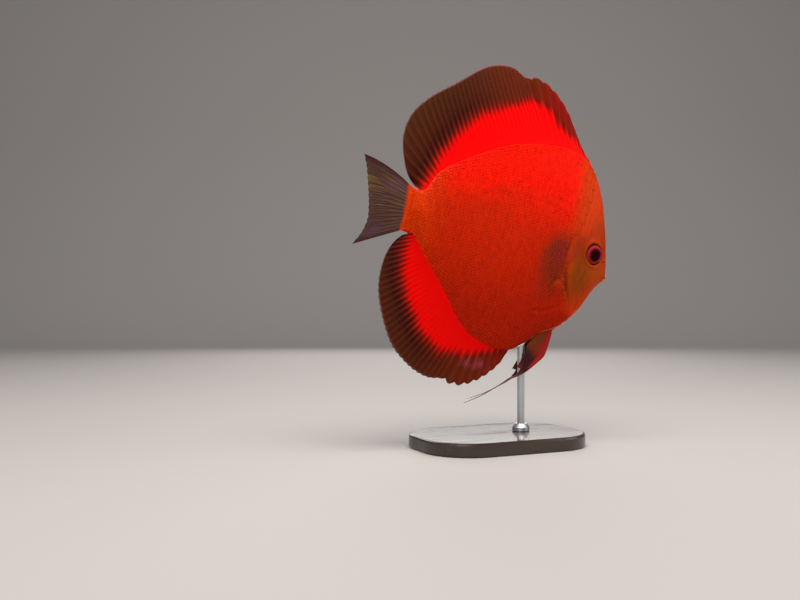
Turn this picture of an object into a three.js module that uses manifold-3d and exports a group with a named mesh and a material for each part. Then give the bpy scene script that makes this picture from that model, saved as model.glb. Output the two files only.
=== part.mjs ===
// A life-size display model of a red discus fish, an aquarium cichlid with a deep, thin, disc-shaped
// body. It swims head-down a little, right flank to the viewer, and one short rod holds it over a base.
// Millimetres, +Z up. The origin is the centre of the base's underside, and the fish faces +X.
import * as THREE from 'three';
import { mergeVertices } from 'three/addons/utils/BufferGeometryUtils.js';
import Module from 'manifold-3d';

const wasm = await Module();
wasm.setup();

// Pose and fit
const GAP = 0.3; // between pieces that touch
const HEAD_DOWN = THREE.MathUtils.degToRad(13);
const FISH_HEIGHT = 128; // of the body's middle over the floor
const FISH_SHIFT = 2; // of the body's middle in front of the base's middle

// Body, in the fish's own frame: x to the snout, z up, y = 0 the plane of symmetry
const MIDDLE = { x: 8, z: -6 };
const OUTLINE = [
  [78.6, -6.0], [75.2, 7.7], [69.7, 25.5], [63.6, 43.2], [53.6, 57.0],
  [39.0, 62.6], [20.0, 61.0], [-5.0, 53.5], [-29.0, 39.6], [-48.4, 24.0],
  [-56.0, 10.4], [-63.6, 9.4], [-64.0, -3.0], [-64.1, -15.2], [-58.0, -16.2],
  [-47.0, -27.4], [-33.0, -41.4], [-16.0, -59.0], [-4.0, -66.4], [9.0, -69.3],
  [21.5, -67.8], [32.0, -60.8], [42.4, -53.6], [48.6, -50.2], [54.4, -45.4],
  [64.1, -34.3], [69.8, -23.0], [76.0, -14.8], [78.8, -10.6],
];
const OUTLINE_STEPS = 84;
const RINGS = [0.14, 0.28, 0.42, 0.55, 0.67, 0.78, 0.87, 0.93, 0.975, 1];
// Half the width at mid-height, and along the back and the belly, from snout to tail
const FLANK = [
  [80, 5.0], [76, 6.4], [70, 8.8], [63, 10.8], [54, 12.4], [44, 13.2], [30, 13.3], [12, 12.6],
  [-8, 11.0], [-26, 9.0], [-42, 7.0], [-54, 5.2], [-65, 3.0],
];
const BACK = [[80, 4.6], [74, 4.8], [66, 4.6], [56, 3.2], [44, 2.4], [0, 2.2], [-50, 2.0], [-65, 2.0]];
const BELLY = [[80, 4.4], [74, 4.2], [64, 4.2], [50, 4.0], [34, 3.0], [16, 2.4], [0, 2.2], [-50, 2.0], [-65, 2.0]];
const FULLNESS = [[80, 2.6], [60, 2.5], [40, 2.2], [10, 1.9], [-40, 1.8], [-65, 2]];
// How the edge rounds off, by degrees about the middle: how wide the rounding is, and how much it leaves
const RIM = [
  { at: -180, wide: 2, left: 0.9 }, { at: -82, wide: 2.4, left: 0.8 }, { at: -60, wide: 4, left: 0.3 },
  { at: 40, wide: 5, left: 0.2 }, { at: 62, wide: 2.4, left: 0.8 }, { at: 180, wide: 2, left: 0.9 },
];
const CHEEK = { x: 55, z: -14, reach: 12, rise: 0.9 };

// Eye and nostril
const EYE = { x: 61.6, z: 0.9, radius: 6.0, bulge: 2.5, depth: 4.6 };
const ORBIT = { radius: 7.3, width: 1.5, rise: 0.8 };
const NOSTRIL = { x: 71.4, z: -1.0, radius: 0.95, depth: 1.6 };

// Mouth: each lip is a thick roll that wraps round the jaw from corner to corner
const LIP = { tip: 80.6, corner: 74.8, half: 4.6, thick: 1.7, reach: 1.5 };
const UPPER_LIP = { tip: -7.8, corner: -9.6 };
const LOWER_LIP = { tip: -11.6, corner: -12.1 };

// Gill cover, from the edge of the cheek plate to the free rear margin, each from the top down
const GILL_FRONT = [[51.5, 10], [49.6, 0], [50.6, -13], [53.6, -24], [58.6, -31.5]];
const GILL_REAR = [[47, 11], [42.6, 3], [41.8, -9], [44.8, -21], [50.6, -31], [58, -35.4]];
const GILL = { thick: 2.0, step: 0.9, sink: 0.1 };

// Cuts between head, torso and tail base
const HEAD_CUT = [[55, 70], [50.5, 40], [47, 12], [42.8, 3], [42, -9], [45, -21], [51, -31], [62, -37], [75, -50]];
const TAIL_CUT = [[-47, 40], [-50, 8], [-51, -4], [-49.5, -20], [-46, -40]];

// Median fins: where each fin leaves the body and where its edge runs, front to rear
const SPINY_DORSAL = {
  rays: 9, rows: 5, root: [[55, 54], [44, 59.4], [32, 59.4], [21.75, 58.3]],
  edge: [[54.4, 58.8], [46, 66.6], [38.4, 75.4], [29.2, 85.8], [19.6, 93.6], [10.6, 98.2], [3.4, 99.2], [-3.62, 96.9]],
  membrane: 0.5, ray: 0.5, rootHalf: 1.9, notch: 0.035, fan: [1, 0, 1], sway: 0.5,
};
const SOFT_DORSAL = {
  rays: 31, rows: 6, root: [[21.4, 58.2], [-5, 50.4], [-28, 36.8], [-46, 22], [-53.6, 9.6]],
  edge: [
    [-4.0, 96.6], [-12.8, 100], [-23, 98.2], [-32, 93.4], [-48.4, 78], [-63, 64.4], [-71.4, 52],
    [-73.8, 38.4], [-70, 24.6], [-65, 15.8], [-60, 11.6],
  ],
  membrane: 0.32, ray: 0.36, rootHalf: 1.8, notch: 0.006, fan: [0.72, 0.28, 8], sway: 1.1,
};
const SPINY_ANAL = {
  rays: 8, rows: 5, root: [[21, -64.6], [9, -66.2], [-3, -63.2], [-7.4, -60.4]],
  edge: [[20.6, -70.4], [18.0, -76.4], [12.0, -83.4], [3.4, -90.2], [-6, -94.8], [-13.6, -95.2], [-19.2, -93.3]],
  membrane: 0.5, ray: 0.5, rootHalf: 1.9, notch: 0.04, fan: [1, 0, 1], sway: 0.4,
};
const SOFT_ANAL = {
  rays: 29, rows: 6, root: [[-7.8, -60.2], [-20, -51], [-36, -34.2], [-49.4, -20.4], [-55.4, -14.6]],
  edge: [
    [-19.6, -93.2], [-27, -94.2], [-36.4, -92], [-45.4, -87.4], [-54, -81], [-60.6, -72.2],
    [-66, -62.2], [-69.8, -51.6], [-70.6, -41], [-69, -30.4], [-65.4, -22.4], [-61.4, -17.8],
  ],
  membrane: 0.32, ray: 0.36, rootHalf: 1.8, notch: 0.006, fan: [1, 0, 1], sway: 1.0,
};
const TAIL_FIN = {
  rays: 16, rows: 6, root: [[-60, 8.2], [-60.4, -3], [-60.6, -14]],
  edge: [
    [-94.4, 20.6], [-91.4, 14.2], [-89.4, 7.4], [-87.4, -0.4], [-85.8, -7.6], [-84.8, -14.6],
    [-86.2, -22.4], [-90.2, -30.6],
  ],
  membrane: 0.3, ray: 0.34, rootHalf: 1.9, notch: 0.01, fan: [1, 0, 1], sway: 0.8,
};
const TAIL_FIN_CURVE = 2.6; // how far the upper rays arch

// Paired fins, each a fan about its root
const PECTORAL = {
  rays: 12, rows: 6, at: { x: 38.5, z: -25.2 }, rootSpan: 7, rootTilt: 64, from: 92, to: 214,
  reach: [[0, 29], [0.25, 34], [0.6, 26], [1, 16]],
  flare: 26, membrane: 0.28, ray: 0.3, rootHalf: 0.9, sink: 3,
};
const PELVIC = {
  at: { x: 43.4, y: 2.5, z: -50.2 }, splay: 3, rays: 6, rows: 8, membrane: 0.3, ray: 0.36, rootHalf: 1.3,
  swing: { right: 0, left: 4 }, // degrees that each is held forward
  lead: [[3.6, 2.2], [3.7, -3.6], [3.2, -8], [2.7, -11.7], [1.4, -16.6], [-3.9, -22.9], [-10.4, -29.2], [-17.1, -33.6]],
  trail: [[-4.2, 0.8], [-8.4, -7.4], [-11.4, -12.6], [-12.5, -17.2], [-14.2, -21.9], [-16.6, -26.9]],
  hem: [[-17.1, -33.6], [-15.0, -30.6], [-13.8, -28.6], [-13.9, -27.5], [-15.2, -27.1], [-16.6, -26.9]],
  streamer: [[-14.6, -31.5], [-17.3, -33.1], [-21.4, -36.4], [-25.7, -39.5], [-34.3, -45.4], [-45.2, -51.2]],
  streamerRadius: 0.55,
};

// Display stand
const BASE = { long: 104, deep: 70, high: 8, bevel: 1.4, corner: 26 };
const ROD = { x: 29, radius: 2.2, into: 6 };
const FERRULE = { radius: 5.2, high: 4.2 };

const COLOURS = {
  flesh: [0xd93a10, 0.42], cheek: [0xd9641c, 0.42], lips: [0xe08a70, 0.45], eye: [0xa3202a, 0.12],
  darkFin: [0x4a1a12, 0.5], tailFin: [0x4d3a36, 0.5], clearFin: [0xc8683c, 0.5],
  base: [0x2b2724, 0.35], rod: [0xb9bcc0, 0.3],
};

function material(name) {
  const [color, roughness] = COLOURS[name];
  return new THREE.MeshStandardMaterial({ color, roughness, metalness: name === 'rod' ? 0.9 : 0 });
}

// Solids: a closed three.js geometry as a manifold, and back
function solid(geometry) {
  const plain = new THREE.BufferGeometry();
  plain.setAttribute('position', geometry.getAttribute('position'));
  if (geometry.index) plain.setIndex(geometry.index);
  const merged = mergeVertices(plain, 1e-4);
  const triVerts = new Uint32Array(merged.index.array);
  const vertProperties = merged.attributes.position.array;
  const made = new wasm.Manifold(new wasm.Mesh({ numProp: 3, vertProperties, triVerts }));
  if (made.volume() > 0) return made;
  for (let i = 0; i < triVerts.length; i += 3) {
    [triVerts[i + 1], triVerts[i + 2]] = [triVerts[i + 2], triVerts[i + 1]];
  }
  return new wasm.Manifold(new wasm.Mesh({ numProp: 3, vertProperties, triVerts }));
}

function largest(manifold) {
  return manifold.decompose().reduce((a, b) => (b.volume() > a.volume() ? b : a));
}

function geometryOf(manifold) {
  const { numProp, vertProperties, triVerts } = manifold.getMesh();
  const count = vertProperties.length / numProp;
  const positions = new Float32Array(count * 3);
  for (let i = 0; i < count; i++) {
    positions.set(vertProperties.subarray(i * numProp, i * numProp + 3), i * 3);
  }
  const geometry = new THREE.BufferGeometry();
  geometry.setAttribute('position', new THREE.BufferAttribute(positions, 3));
  geometry.setIndex(new THREE.BufferAttribute(triVerts, 1));
  geometry.computeVertexNormals();
  return geometry;
}

function geometryFrom(points, triangles) {
  const geometry = new THREE.BufferGeometry();
  geometry.setAttribute('position', new THREE.Float32BufferAttribute(points.flat(), 3));
  geometry.setIndex(triangles.flat());
  return geometry;
}

// Curves in the fish's side view
function curve(points, closed = false) {
  const places = points.map(([x, z]) => new THREE.Vector3(x, 0, z));
  return new THREE.CatmullRomCurve3(places, closed, 'centripetal');
}

function along(path, share) {
  const { x, z } = path.getPointAt(THREE.MathUtils.clamp(share, 0, 1));
  return [x, z];
}

function sweptSurface(columns, rows, place) {
  // A thin closed sheet. Both faces split their squares along the same diagonal.
  const points = [];
  const triangles = [];
  const index = (face, i, j) => face * (columns + 1) * (rows + 1) + i * (rows + 1) + j;
  for (const face of [0, 1]) {
    for (let i = 0; i <= columns; i++) {
      for (let j = 0; j <= rows; j++) points.push(place(i, j, face ? 1 : -1));
    }
  }
  const quad = (a, b, c, d) => triangles.push([a, b, c], [a, c, d]);
  for (let i = 0; i < columns; i++) {
    for (let j = 0; j < rows; j++) {
      quad(index(0, i, j), index(0, i + 1, j), index(0, i + 1, j + 1), index(0, i, j + 1));
      const [a, b, c, d] = [index(1, i, j), index(1, i + 1, j), index(1, i + 1, j + 1), index(1, i, j + 1)];
      triangles.push([a, c, b], [a, d, c]);
    }
    quad(index(0, i + 1, 0), index(0, i, 0), index(1, i, 0), index(1, i + 1, 0));
    quad(index(0, i, rows), index(0, i + 1, rows), index(1, i + 1, rows), index(1, i, rows));
  }
  for (let j = 0; j < rows; j++) {
    quad(index(0, 0, j), index(0, 0, j + 1), index(1, 0, j + 1), index(1, 0, j));
    quad(index(0, columns, j + 1), index(0, columns, j), index(1, columns, j), index(1, columns, j + 1));
  }
  return geometryFrom(points, triangles);
}

// A tube of changing radius through a list of points, with closed round ends
function tube(places, radii, sides = 8) {
  const path = new THREE.CatmullRomCurve3(places);
  const steps = radii.length - 1;
  const frames = path.computeFrenetFrames(steps);
  const points = [path.getPointAt(0).toArray()];
  const triangles = [];
  radii.forEach((radius, i) => {
    const centre = path.getPointAt(i / steps);
    for (let k = 0; k < sides; k++) {
      const turn = (k / sides) * 2 * Math.PI;
      const out = frames.normals[i].clone().multiplyScalar(Math.cos(turn) * radius)
        .addScaledVector(frames.binormals[i], Math.sin(turn) * radius);
      points.push(centre.clone().add(out).toArray());
    }
  });
  points.push(path.getPointAt(1).toArray());
  const last = points.length - 1;
  const ring = (i, k) => 1 + i * sides + (k % sides);
  for (let k = 0; k < sides; k++) {
    triangles.push([0, ring(0, k + 1), ring(0, k)], [last, ring(steps, k), ring(steps, k + 1)]);
    for (let i = 0; i < steps; i++) {
      triangles.push([ring(i, k), ring(i, k + 1), ring(i + 1, k + 1)]);
      triangles.push([ring(i, k), ring(i + 1, k + 1), ring(i + 1, k)]);
    }
  }
  return geometryFrom(points, triangles);
}

// A block with the given side-view outline, through the whole width of the fish
function prism(points, halfWidth = 60) {
  const shape = new THREE.Shape(points.map(([x, z]) => new THREE.Vector2(x, z)));
  const block = new THREE.ExtrudeGeometry(shape, { depth: 2 * halfWidth, bevelEnabled: false });
  return solid(block.rotateX(Math.PI / 2).translate(0, halfWidth, 0));
}

// The body's form: how wide the fish is at a point of its side view
const outline = curve(OUTLINE, true);
const rim = outline.getSpacedPoints(480).map(({ x, z }) => [x, z]);
const ordered = (points) => points.toSorted((a, b) => a[0] - b[0]);
const upper = ordered(rim.filter(([, z]) => z >= MIDDLE.z));
const lower = ordered(rim.filter(([, z]) => z <= MIDDLE.z));
const table = (points) => ordered(curve(points).getSpacedPoints(160).map(({ x, z }) => [x, z]));
const [flank, back, belly, fullness] = [FLANK, BACK, BELLY, FULLNESS].map(table);

function valueAt(line, x) {
  let low = 0;
  let high = line.length - 1;
  while (high - low > 1) {
    const half = (low + high) >> 1;
    if (line[half][0] > x) high = half;
    else low = half;
  }
  const share = THREE.MathUtils.clamp((x - line[low][0]) / (line[high][0] - line[low][0] || 1), 0, 1);
  return line[low][1] + (line[high][1] - line[low][1]) * share;
}

function edgeDistance(x, z) {
  let nearest = Infinity;
  for (let i = 0; i < rim.length - 1; i++) {
    const [[ax, az], [bx, bz]] = [rim[i], rim[i + 1]];
    const [dx, dz] = [bx - ax, bz - az];
    const share = THREE.MathUtils.clamp(((x - ax) * dx + (z - az) * dz) / (dx * dx + dz * dz), 0, 1);
    nearest = Math.min(nearest, Math.hypot(x - ax - dx * share, z - az - dz * share));
  }
  return nearest;
}

function rimAt(x, z) {
  const degrees = THREE.MathUtils.radToDeg(Math.atan2(z - MIDDLE.z, x - MIDDLE.x));
  const next = Math.max(1, RIM.findIndex(({ at }) => at >= degrees));
  const [a, b] = [RIM[next - 1], RIM[next]];
  const share = THREE.MathUtils.smoothstep(degrees, a.at, b.at);
  return { wide: a.wide + (b.wide - a.wide) * share, left: a.left + (b.left - a.left) * share };
}

function halfWidth(x, z) {
  const [top, bottom] = [valueAt(upper, x), valueAt(lower, x)];
  const up = THREE.MathUtils.clamp((2 * z - top - bottom) / Math.max(top - bottom, 1), -1, 1);
  const edge = valueAt(up > 0 ? back : belly, x);
  const dome = edge + (valueAt(flank, x) - edge) * (1 - Math.abs(up) ** valueAt(fullness, x));
  const inside = edgeDistance(x, z);
  const { wide, left } = rimAt(x, z);
  const past = Math.max(0, 1 - inside / wide);
  const rounded = left + (1 - left) * Math.sqrt(1 - past * past);
  const toCheek = Math.hypot(x - CHEEK.x, z - CHEEK.z) / CHEEK.reach;
  const toEye = (Math.hypot(x - EYE.x, z - EYE.z) - ORBIT.radius) / ORBIT.width;
  const swell = CHEEK.rise * Math.exp(-toCheek * toCheek) + ORBIT.rise * Math.exp(-toEye * toEye);
  return dome * rounded + swell * THREE.MathUtils.smoothstep(inside, 0, 5);
}

function bodySolid(grow = 0) {
  const spaced = outline.getSpacedPoints(OUTLINE_STEPS).slice(0, OUTLINE_STEPS);
  const grown = spaced.map((here, i) => {
    const before = spaced[(i + OUTLINE_STEPS - 1) % OUTLINE_STEPS];
    const after = spaced[(i + 1) % OUTLINE_STEPS];
    const run = new THREE.Vector2(after.x - before.x, after.z - before.z).normalize();
    return { here, x: here.x + run.y * grow, z: here.z - run.x * grow };
  });
  const points = [];
  for (const side of [-1, 1]) {
    points.push([MIDDLE.x, side * (halfWidth(MIDDLE.x, MIDDLE.z) + grow), MIDDLE.z]);
    for (const t of RINGS) {
      for (const { here, x, z } of grown) {
        const half = halfWidth(MIDDLE.x + (here.x - MIDDLE.x) * t, MIDDLE.z + (here.z - MIDDLE.z) * t);
        points.push([
          MIDDLE.x + (x - MIDDLE.x) * t, side * (half + grow * 1.25), MIDDLE.z + (z - MIDDLE.z) * t,
        ]);
      }
    }
  }
  const triangles = [];
  const perSide = 1 + RINGS.length * OUTLINE_STEPS;
  const at = (side, ring, i) => side * perSide + 1 + ring * OUTLINE_STEPS + (i % OUTLINE_STEPS);
  const add = (side, a, b, c) => triangles.push(side ? [a, c, b] : [a, b, c]);
  const outer = RINGS.length - 1;
  for (let i = 0; i < OUTLINE_STEPS; i++) {
    for (const side of [0, 1]) {
      add(side, side * perSide, at(side, 0, i), at(side, 0, i + 1));
      for (let ring = 0; ring < outer; ring++) {
        add(side, at(side, ring, i), at(side, ring + 1, i), at(side, ring + 1, i + 1));
        add(side, at(side, ring, i), at(side, ring + 1, i + 1), at(side, ring, i + 1));
      }
    }
    triangles.push([at(0, outer, i), at(1, outer, i), at(1, outer, i + 1)]);
    triangles.push([at(0, outer, i), at(1, outer, i + 1), at(0, outer, i + 1)]);
  }
  return solid(geometryFrom(points, triangles));
}

function surfaceNormal(x, z, side) {
  const step = 0.5;
  const slopeX = (halfWidth(x + step, z) - halfWidth(x - step, z)) / (2 * step);
  const slopeZ = (halfWidth(x, z + step) - halfWidth(x, z - step)) / (2 * step);
  return new THREE.Vector3(-slopeX, side, -slopeZ).normalize();
}

// A turned piece that sits on the flank and points straight out of it
function onFlank(profile, spot, side, sides) {
  const geometry = new THREE.LatheGeometry(profile.map(([r, y]) => new THREE.Vector2(r, y)), sides);
  const turn = new THREE.Quaternion().setFromUnitVectors(
    new THREE.Vector3(0, 1, 0), surfaceNormal(spot.x, spot.z, side));
  geometry.applyQuaternion(turn);
  return solid(geometry.translate(spot.x, side * halfWidth(spot.x, spot.z), spot.z));
}

// Eyes: a shallow clear dome over a rounded ball that fills its socket
const EYE_SURFACE = 0.2; // the dome's foot over the skin
function eyeSolid(side, grow = 0) {
  const radius = EYE.radius + grow;
  const profile = [[0, -EYE.depth - grow], [radius * 0.62, -EYE.depth * 0.84 - grow], [radius, -1.2], [radius, EYE_SURFACE]];
  const steps = 5;
  for (let i = 1; i <= steps; i++) {
    const turn = (i / steps) * (Math.PI / 2);
    profile.push([radius * Math.cos(turn), EYE_SURFACE + (EYE.bulge + grow) * Math.sin(turn)]);
  }
  profile[profile.length - 1][0] = 0;
  return onFlank(profile, EYE, side, 24);
}

function nostrilPit(side) {
  const { radius, depth } = NOSTRIL;
  return onFlank([[0, -depth], [radius * 0.5, -depth * 0.8], [radius, 0.3], [radius * 1.4, 1.5], [0, 1.5]], NOSTRIL, side, 10);
}

// Lips: thick rolls, widest in front, that taper to the corners of the mouth
function lipSolid({ tip, corner }, grow = 0) {
  const steps = 16;
  const places = [];
  const radii = [];
  for (let i = 0; i <= steps; i++) {
    const turn = ((i / steps) - 0.5) * Math.PI;
    const front = Math.cos(turn);
    places.push(new THREE.Vector3(
      LIP.corner + (LIP.tip - LIP.reach - LIP.corner) * front, LIP.half * Math.sin(turn),
      corner + (tip - corner) * front));
    radii.push(LIP.thick * (0.5 + 0.5 * Math.sqrt(front + 1e-9)) + grow);
  }
  return solid(tube(places, radii, 10));
}

// Gill cover: a thin plate laid over the side of the head, its rear edge free and raised
function gillSolid(side, grow = 0, outward = 0) {
  const [front, rear] = [curve(GILL_FRONT), curve(GILL_REAR)];
  const [columns, rows] = [6, 16];
  return solid(sweptSurface(columns, rows, (i, j, face) => {
    const [fx, fz] = along(front, j / rows);
    const [rx, rz] = along(rear, j / rows);
    const margin = (1.4 * grow) / Math.hypot(rx - fx, rz - fz);
    const back = (i / columns) * (1 + 2 * margin) - margin;
    const x = fx + (rx - fx) * back;
    const z = fz + (rz - fz) * back + (j === 0 ? 1.4 * grow : 0) - (j === rows ? 1.4 * grow : 0);
    const rise = GILL.sink + (GILL.step - GILL.sink) * Math.max(0, back) ** 2;
    const half = halfWidth(x, z) + (face < 0 ? rise + outward : -GILL.thick - grow);
    return [x, side * half, z];
  }));
}

// Fins: a membrane whose rays stand up as ridges on both faces
function rayGrid({ rays, rows, membrane, ray, rootHalf, notch = 0 }, rayLine) {
  const columns = rays * 2;
  return sweptSurface(columns, rows, (i, j, face) => {
    const onRay = i % 2 === 0;
    const u = i / columns;
    const v = (j / rows) * (onRay ? 1 : 1 - notch);
    const { point, sway } = rayLine(u, v);
    const thin = (1 - v) ** 2;
    const half = membrane + (rootHalf - membrane) * thin + (onRay ? ray * (1 - 0.75 * v) * (1 - thin) : 0);
    return [point[0], sway + face * half, point[1]];
  });
}

function medianFin(fin, arch = 0) {
  const [root, edge] = [curve(fin.root), curve(fin.edge)];
  const [linear, late, power] = fin.fan;
  const geometry = rayGrid(fin, (u, v) => {
    const [rx, rz] = along(root, u);
    const [ex, ez] = along(edge, linear * u + late * u ** power);
    const rise = arch * (1 - u) * 4 * v * (1 - v);
    const sway = fin.sway * v * v * Math.sin(u * 7 + 0.8);
    return { point: [rx + (ex - rx) * v, rz + (ez - rz) * v + rise], sway };
  });
  return solid(geometry);
}

function pectoralFin(side) {
  const { at, rootSpan, rootTilt, from, to, flare, sink } = PECTORAL;
  const radians = THREE.MathUtils.degToRad;
  const tilt = [Math.cos(radians(rootTilt)), Math.sin(radians(rootTilt))];
  const reach = table(PECTORAL.reach);
  const geometry = rayGrid(PECTORAL, (u, v) => {
    const turn = radians(from + (to - from) * u);
    const out = v * (valueAt(reach, u) + sink) - sink;
    const spread = (0.5 - u) * rootSpan;
    return {
      point: [tilt[0] * spread + Math.cos(turn) * out, tilt[1] * spread + Math.sin(turn) * out],
      sway: -2.2 * v * v * Math.sin(u * Math.PI),
    };
  });
  // The fan swings out from the flank about its root line
  const hinge = new THREE.Vector3(tilt[0], 0, tilt[1]);
  geometry.applyMatrix4(new THREE.Matrix4().makeRotationAxis(hinge, radians(-flare)));
  geometry.scale(1, side, 1).translate(at.x, side * (halfWidth(at.x, at.z) - 0.6), at.z);
  return solid(geometry);
}

function pelvicFin(side) {
  const { at, splay, swing, lead, trail, hem, streamer, streamerRadius } = PELVIC;
  const [first, last, hemLine] = [curve(lead), curve(trail), curve(hem)];
  const [firstEnd, lastEnd] = [lead.at(-1), trail.at(-1)];
  const geometry = rayGrid(PELVIC, (u, v) => {
    const [ax, az] = along(first, v);
    const [bx, bz] = along(last, v);
    const blend = u ** 0.8;
    const [hx, hz] = along(hemLine, u);
    const pull = v ** 4;
    const x = ax + (bx - ax) * blend + (hx - firstEnd[0] - (lastEnd[0] - firstEnd[0]) * blend) * pull;
    const z = az + (bz - az) * blend + (hz - firstEnd[1] - (lastEnd[1] - firstEnd[1]) * blend) * pull;
    return { point: [x, z], sway: 0.6 * v * Math.sin(u * 5) };
  });
  const places = streamer.map(([x, z]) => new THREE.Vector3(x, 0, z));
  const radii = Array.from({ length: 9 }, (_, i) => streamerRadius * (1 - 0.055 * i));
  const fin = solid(geometry).add(solid(tube(places, radii, 6)));
  const flared = new THREE.Matrix4().makeRotationX(THREE.MathUtils.degToRad(side * splay));
  const forward = THREE.MathUtils.degToRad(side < 0 ? swing.right : swing.left);
  const shape = geometryOf(fin).rotateY(-forward).applyMatrix4(flared);
  return solid(shape.translate(at.x, side * at.y, at.z));
}

// The whole fish, then its parts by thin cuts
const body = bodySolid();
const clearOfBody = bodySolid(GAP);
const nodes = {};

function shifted(points, dx, dz) {
  return points.map(([x, z]) => [x + dx, z + dz]);
}

const FAR = 120;
const frontOf = (line) => prism([...curve(line).getPoints(24).map(({ x, z }) => [x, z]), [FAR, -FAR], [FAR, FAR]]);
const rearOf = (line) => prism([...curve(line).getPoints(12).map(({ x, z }) => [x, z]), [-FAR, -FAR], [-FAR, FAR]]);

const carved = [-1, 1].reduce((rest, side) => rest
  .subtract(eyeSolid(side, GAP)).subtract(nostrilPit(side)).subtract(gillSolid(side, GAP, 5)), body)
  .subtract(lipSolid(UPPER_LIP, GAP)).subtract(lipSolid(LOWER_LIP, GAP));
const headSide = frontOf(HEAD_CUT);
const headSideWide = frontOf(shifted(HEAD_CUT, -GAP, -GAP));
nodes.head = [carved.intersect(headSide), 'cheek'];
nodes.torso = [carved.subtract(headSideWide).subtract(rearOf(shifted(TAIL_CUT, GAP, 0))), 'flesh'];
nodes.tail_base = [carved.intersect(rearOf(TAIL_CUT)), 'flesh'];
nodes.lip_upper = [lipSolid(UPPER_LIP), 'lips'];
nodes.lip_lower = [lipSolid(LOWER_LIP), 'lips'];

for (const [side, name] of [[-1, 'right'], [1, 'left']]) {
  nodes[`gill_cover_${name}`] = [gillSolid(side), 'cheek'];
  nodes[`eye_${name}`] = [eyeSolid(side), 'eye'];
  nodes[`pectoral_fin_${name}`] = [pectoralFin(side).subtract(clearOfBody), 'clearFin'];
  nodes[`pelvic_fin_${name}`] = [pelvicFin(side).subtract(clearOfBody), 'darkFin'];
}
nodes.dorsal_fin_spiny = [medianFin(SPINY_DORSAL).subtract(clearOfBody), 'darkFin'];
nodes.dorsal_fin_soft = [medianFin(SOFT_DORSAL).subtract(clearOfBody), 'darkFin'];
nodes.anal_fin_spiny = [medianFin(SPINY_ANAL).subtract(clearOfBody), 'darkFin'];
nodes.anal_fin_soft = [medianFin(SOFT_ANAL).subtract(clearOfBody), 'darkFin'];
nodes.tail_fin = [medianFin(TAIL_FIN, TAIL_FIN_CURVE).subtract(clearOfBody), 'tailFin'];

const fish = new THREE.Group();
fish.rotation.y = HEAD_DOWN;
fish.position.set(FISH_SHIFT, 0, FISH_HEIGHT);
for (const [name, [shape, look]] of Object.entries(nodes)) {
  const mesh = new THREE.Mesh(geometryOf(largest(shape)), material(look));
  mesh.name = name;
  fish.add(mesh);
}

// Stand: a low base with rounded corners, a ferrule, and a rod that is cut to fit under the belly
function baseGeometry() {
  const { long, deep, high, bevel, corner } = BASE;
  const [hx, hy, r] = [long / 2 - bevel, deep / 2 - bevel, corner];
  const shape = new THREE.Shape();
  shape.absarc(hx - r, hy - r, r, 0, Math.PI / 2);
  shape.absarc(-hx + r, hy - r, r, Math.PI / 2, Math.PI);
  shape.absarc(-hx + r, -hy + r, r, Math.PI, 1.5 * Math.PI);
  shape.absarc(hx - r, -hy + r, r, 1.5 * Math.PI, 2 * Math.PI);
  const plate = new THREE.ExtrudeGeometry(shape, {
    depth: high - 2 * bevel, bevelThickness: bevel, bevelSize: bevel, bevelSegments: 2, curveSegments: 8,
  });
  return plate.translate(0, 0, bevel);
}

fish.updateMatrixWorld(true);
const rodTop = new THREE.Vector3(ROD.x, 0, -61).applyMatrix4(fish.matrixWorld);
const rodLength = rodTop.z + ROD.into - BASE.high - GAP;
const rodBlank = new THREE.CylinderGeometry(ROD.radius, ROD.radius, rodLength, 20)
  .rotateX(Math.PI / 2).translate(rodTop.x, 0, BASE.high + GAP + rodLength / 2);
const fishSpace = geometryOf(clearOfBody).applyMatrix4(fish.matrixWorld);
const rodShape = largest(solid(rodBlank).subtract(solid(fishSpace)));

const ferruleProfile = [
  [ROD.radius + GAP, 0], [FERRULE.radius, 0], [FERRULE.radius, FERRULE.high * 0.5],
  [FERRULE.radius - 1.6, FERRULE.high], [ROD.radius + GAP, FERRULE.high], [ROD.radius + GAP, 0],
].map(([r, y]) => new THREE.Vector2(r, y));
const ferrule = solid(new THREE.LatheGeometry(ferruleProfile, 24).rotateX(Math.PI / 2)
  .translate(rodTop.x, 0, BASE.high + GAP));

const stand = new THREE.Group();
for (const [name, geometry, look] of [
  ['stand_base', geometryOf(solid(baseGeometry())), 'base'],
  ['stand_ferrule', geometryOf(ferrule), 'rod'],
  ['stand_rod', geometryOf(rodShape), 'rod'],
]) {
  const mesh = new THREE.Mesh(geometry, material(look));
  mesh.name = name;
  stand.add(mesh);
}

const model = new THREE.Group();
model.add(fish, stand);
export default model;
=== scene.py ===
"""A life-size display model of a red discus fish, head down a little, on a low wooden base."""
import math

import bmesh
import bpy
import numpy as np
from mathutils import Matrix, Vector


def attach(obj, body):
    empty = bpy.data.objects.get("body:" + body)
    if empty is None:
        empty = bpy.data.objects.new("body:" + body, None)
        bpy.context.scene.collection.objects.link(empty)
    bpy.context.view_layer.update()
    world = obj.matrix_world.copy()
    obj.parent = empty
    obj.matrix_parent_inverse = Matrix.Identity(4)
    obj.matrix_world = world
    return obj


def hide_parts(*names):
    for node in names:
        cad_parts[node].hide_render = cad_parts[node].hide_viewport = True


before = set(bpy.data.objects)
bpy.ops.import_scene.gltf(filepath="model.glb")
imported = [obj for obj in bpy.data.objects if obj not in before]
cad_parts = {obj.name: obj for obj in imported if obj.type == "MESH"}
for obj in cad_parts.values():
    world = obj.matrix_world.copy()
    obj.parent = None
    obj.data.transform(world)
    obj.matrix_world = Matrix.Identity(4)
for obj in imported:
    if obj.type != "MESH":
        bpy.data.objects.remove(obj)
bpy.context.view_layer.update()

# The fish's own space.
# Everything on the fish is shaped in millimetres with x towards the snout, z up and y = 0 its plane of
# symmetry, and is then turned head-down and lifted to where it swims over the base.
HEAD_DOWN = math.radians(13)
MIDDLE_OVER_FLOOR = (0.002, 0, 0.128)
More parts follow.
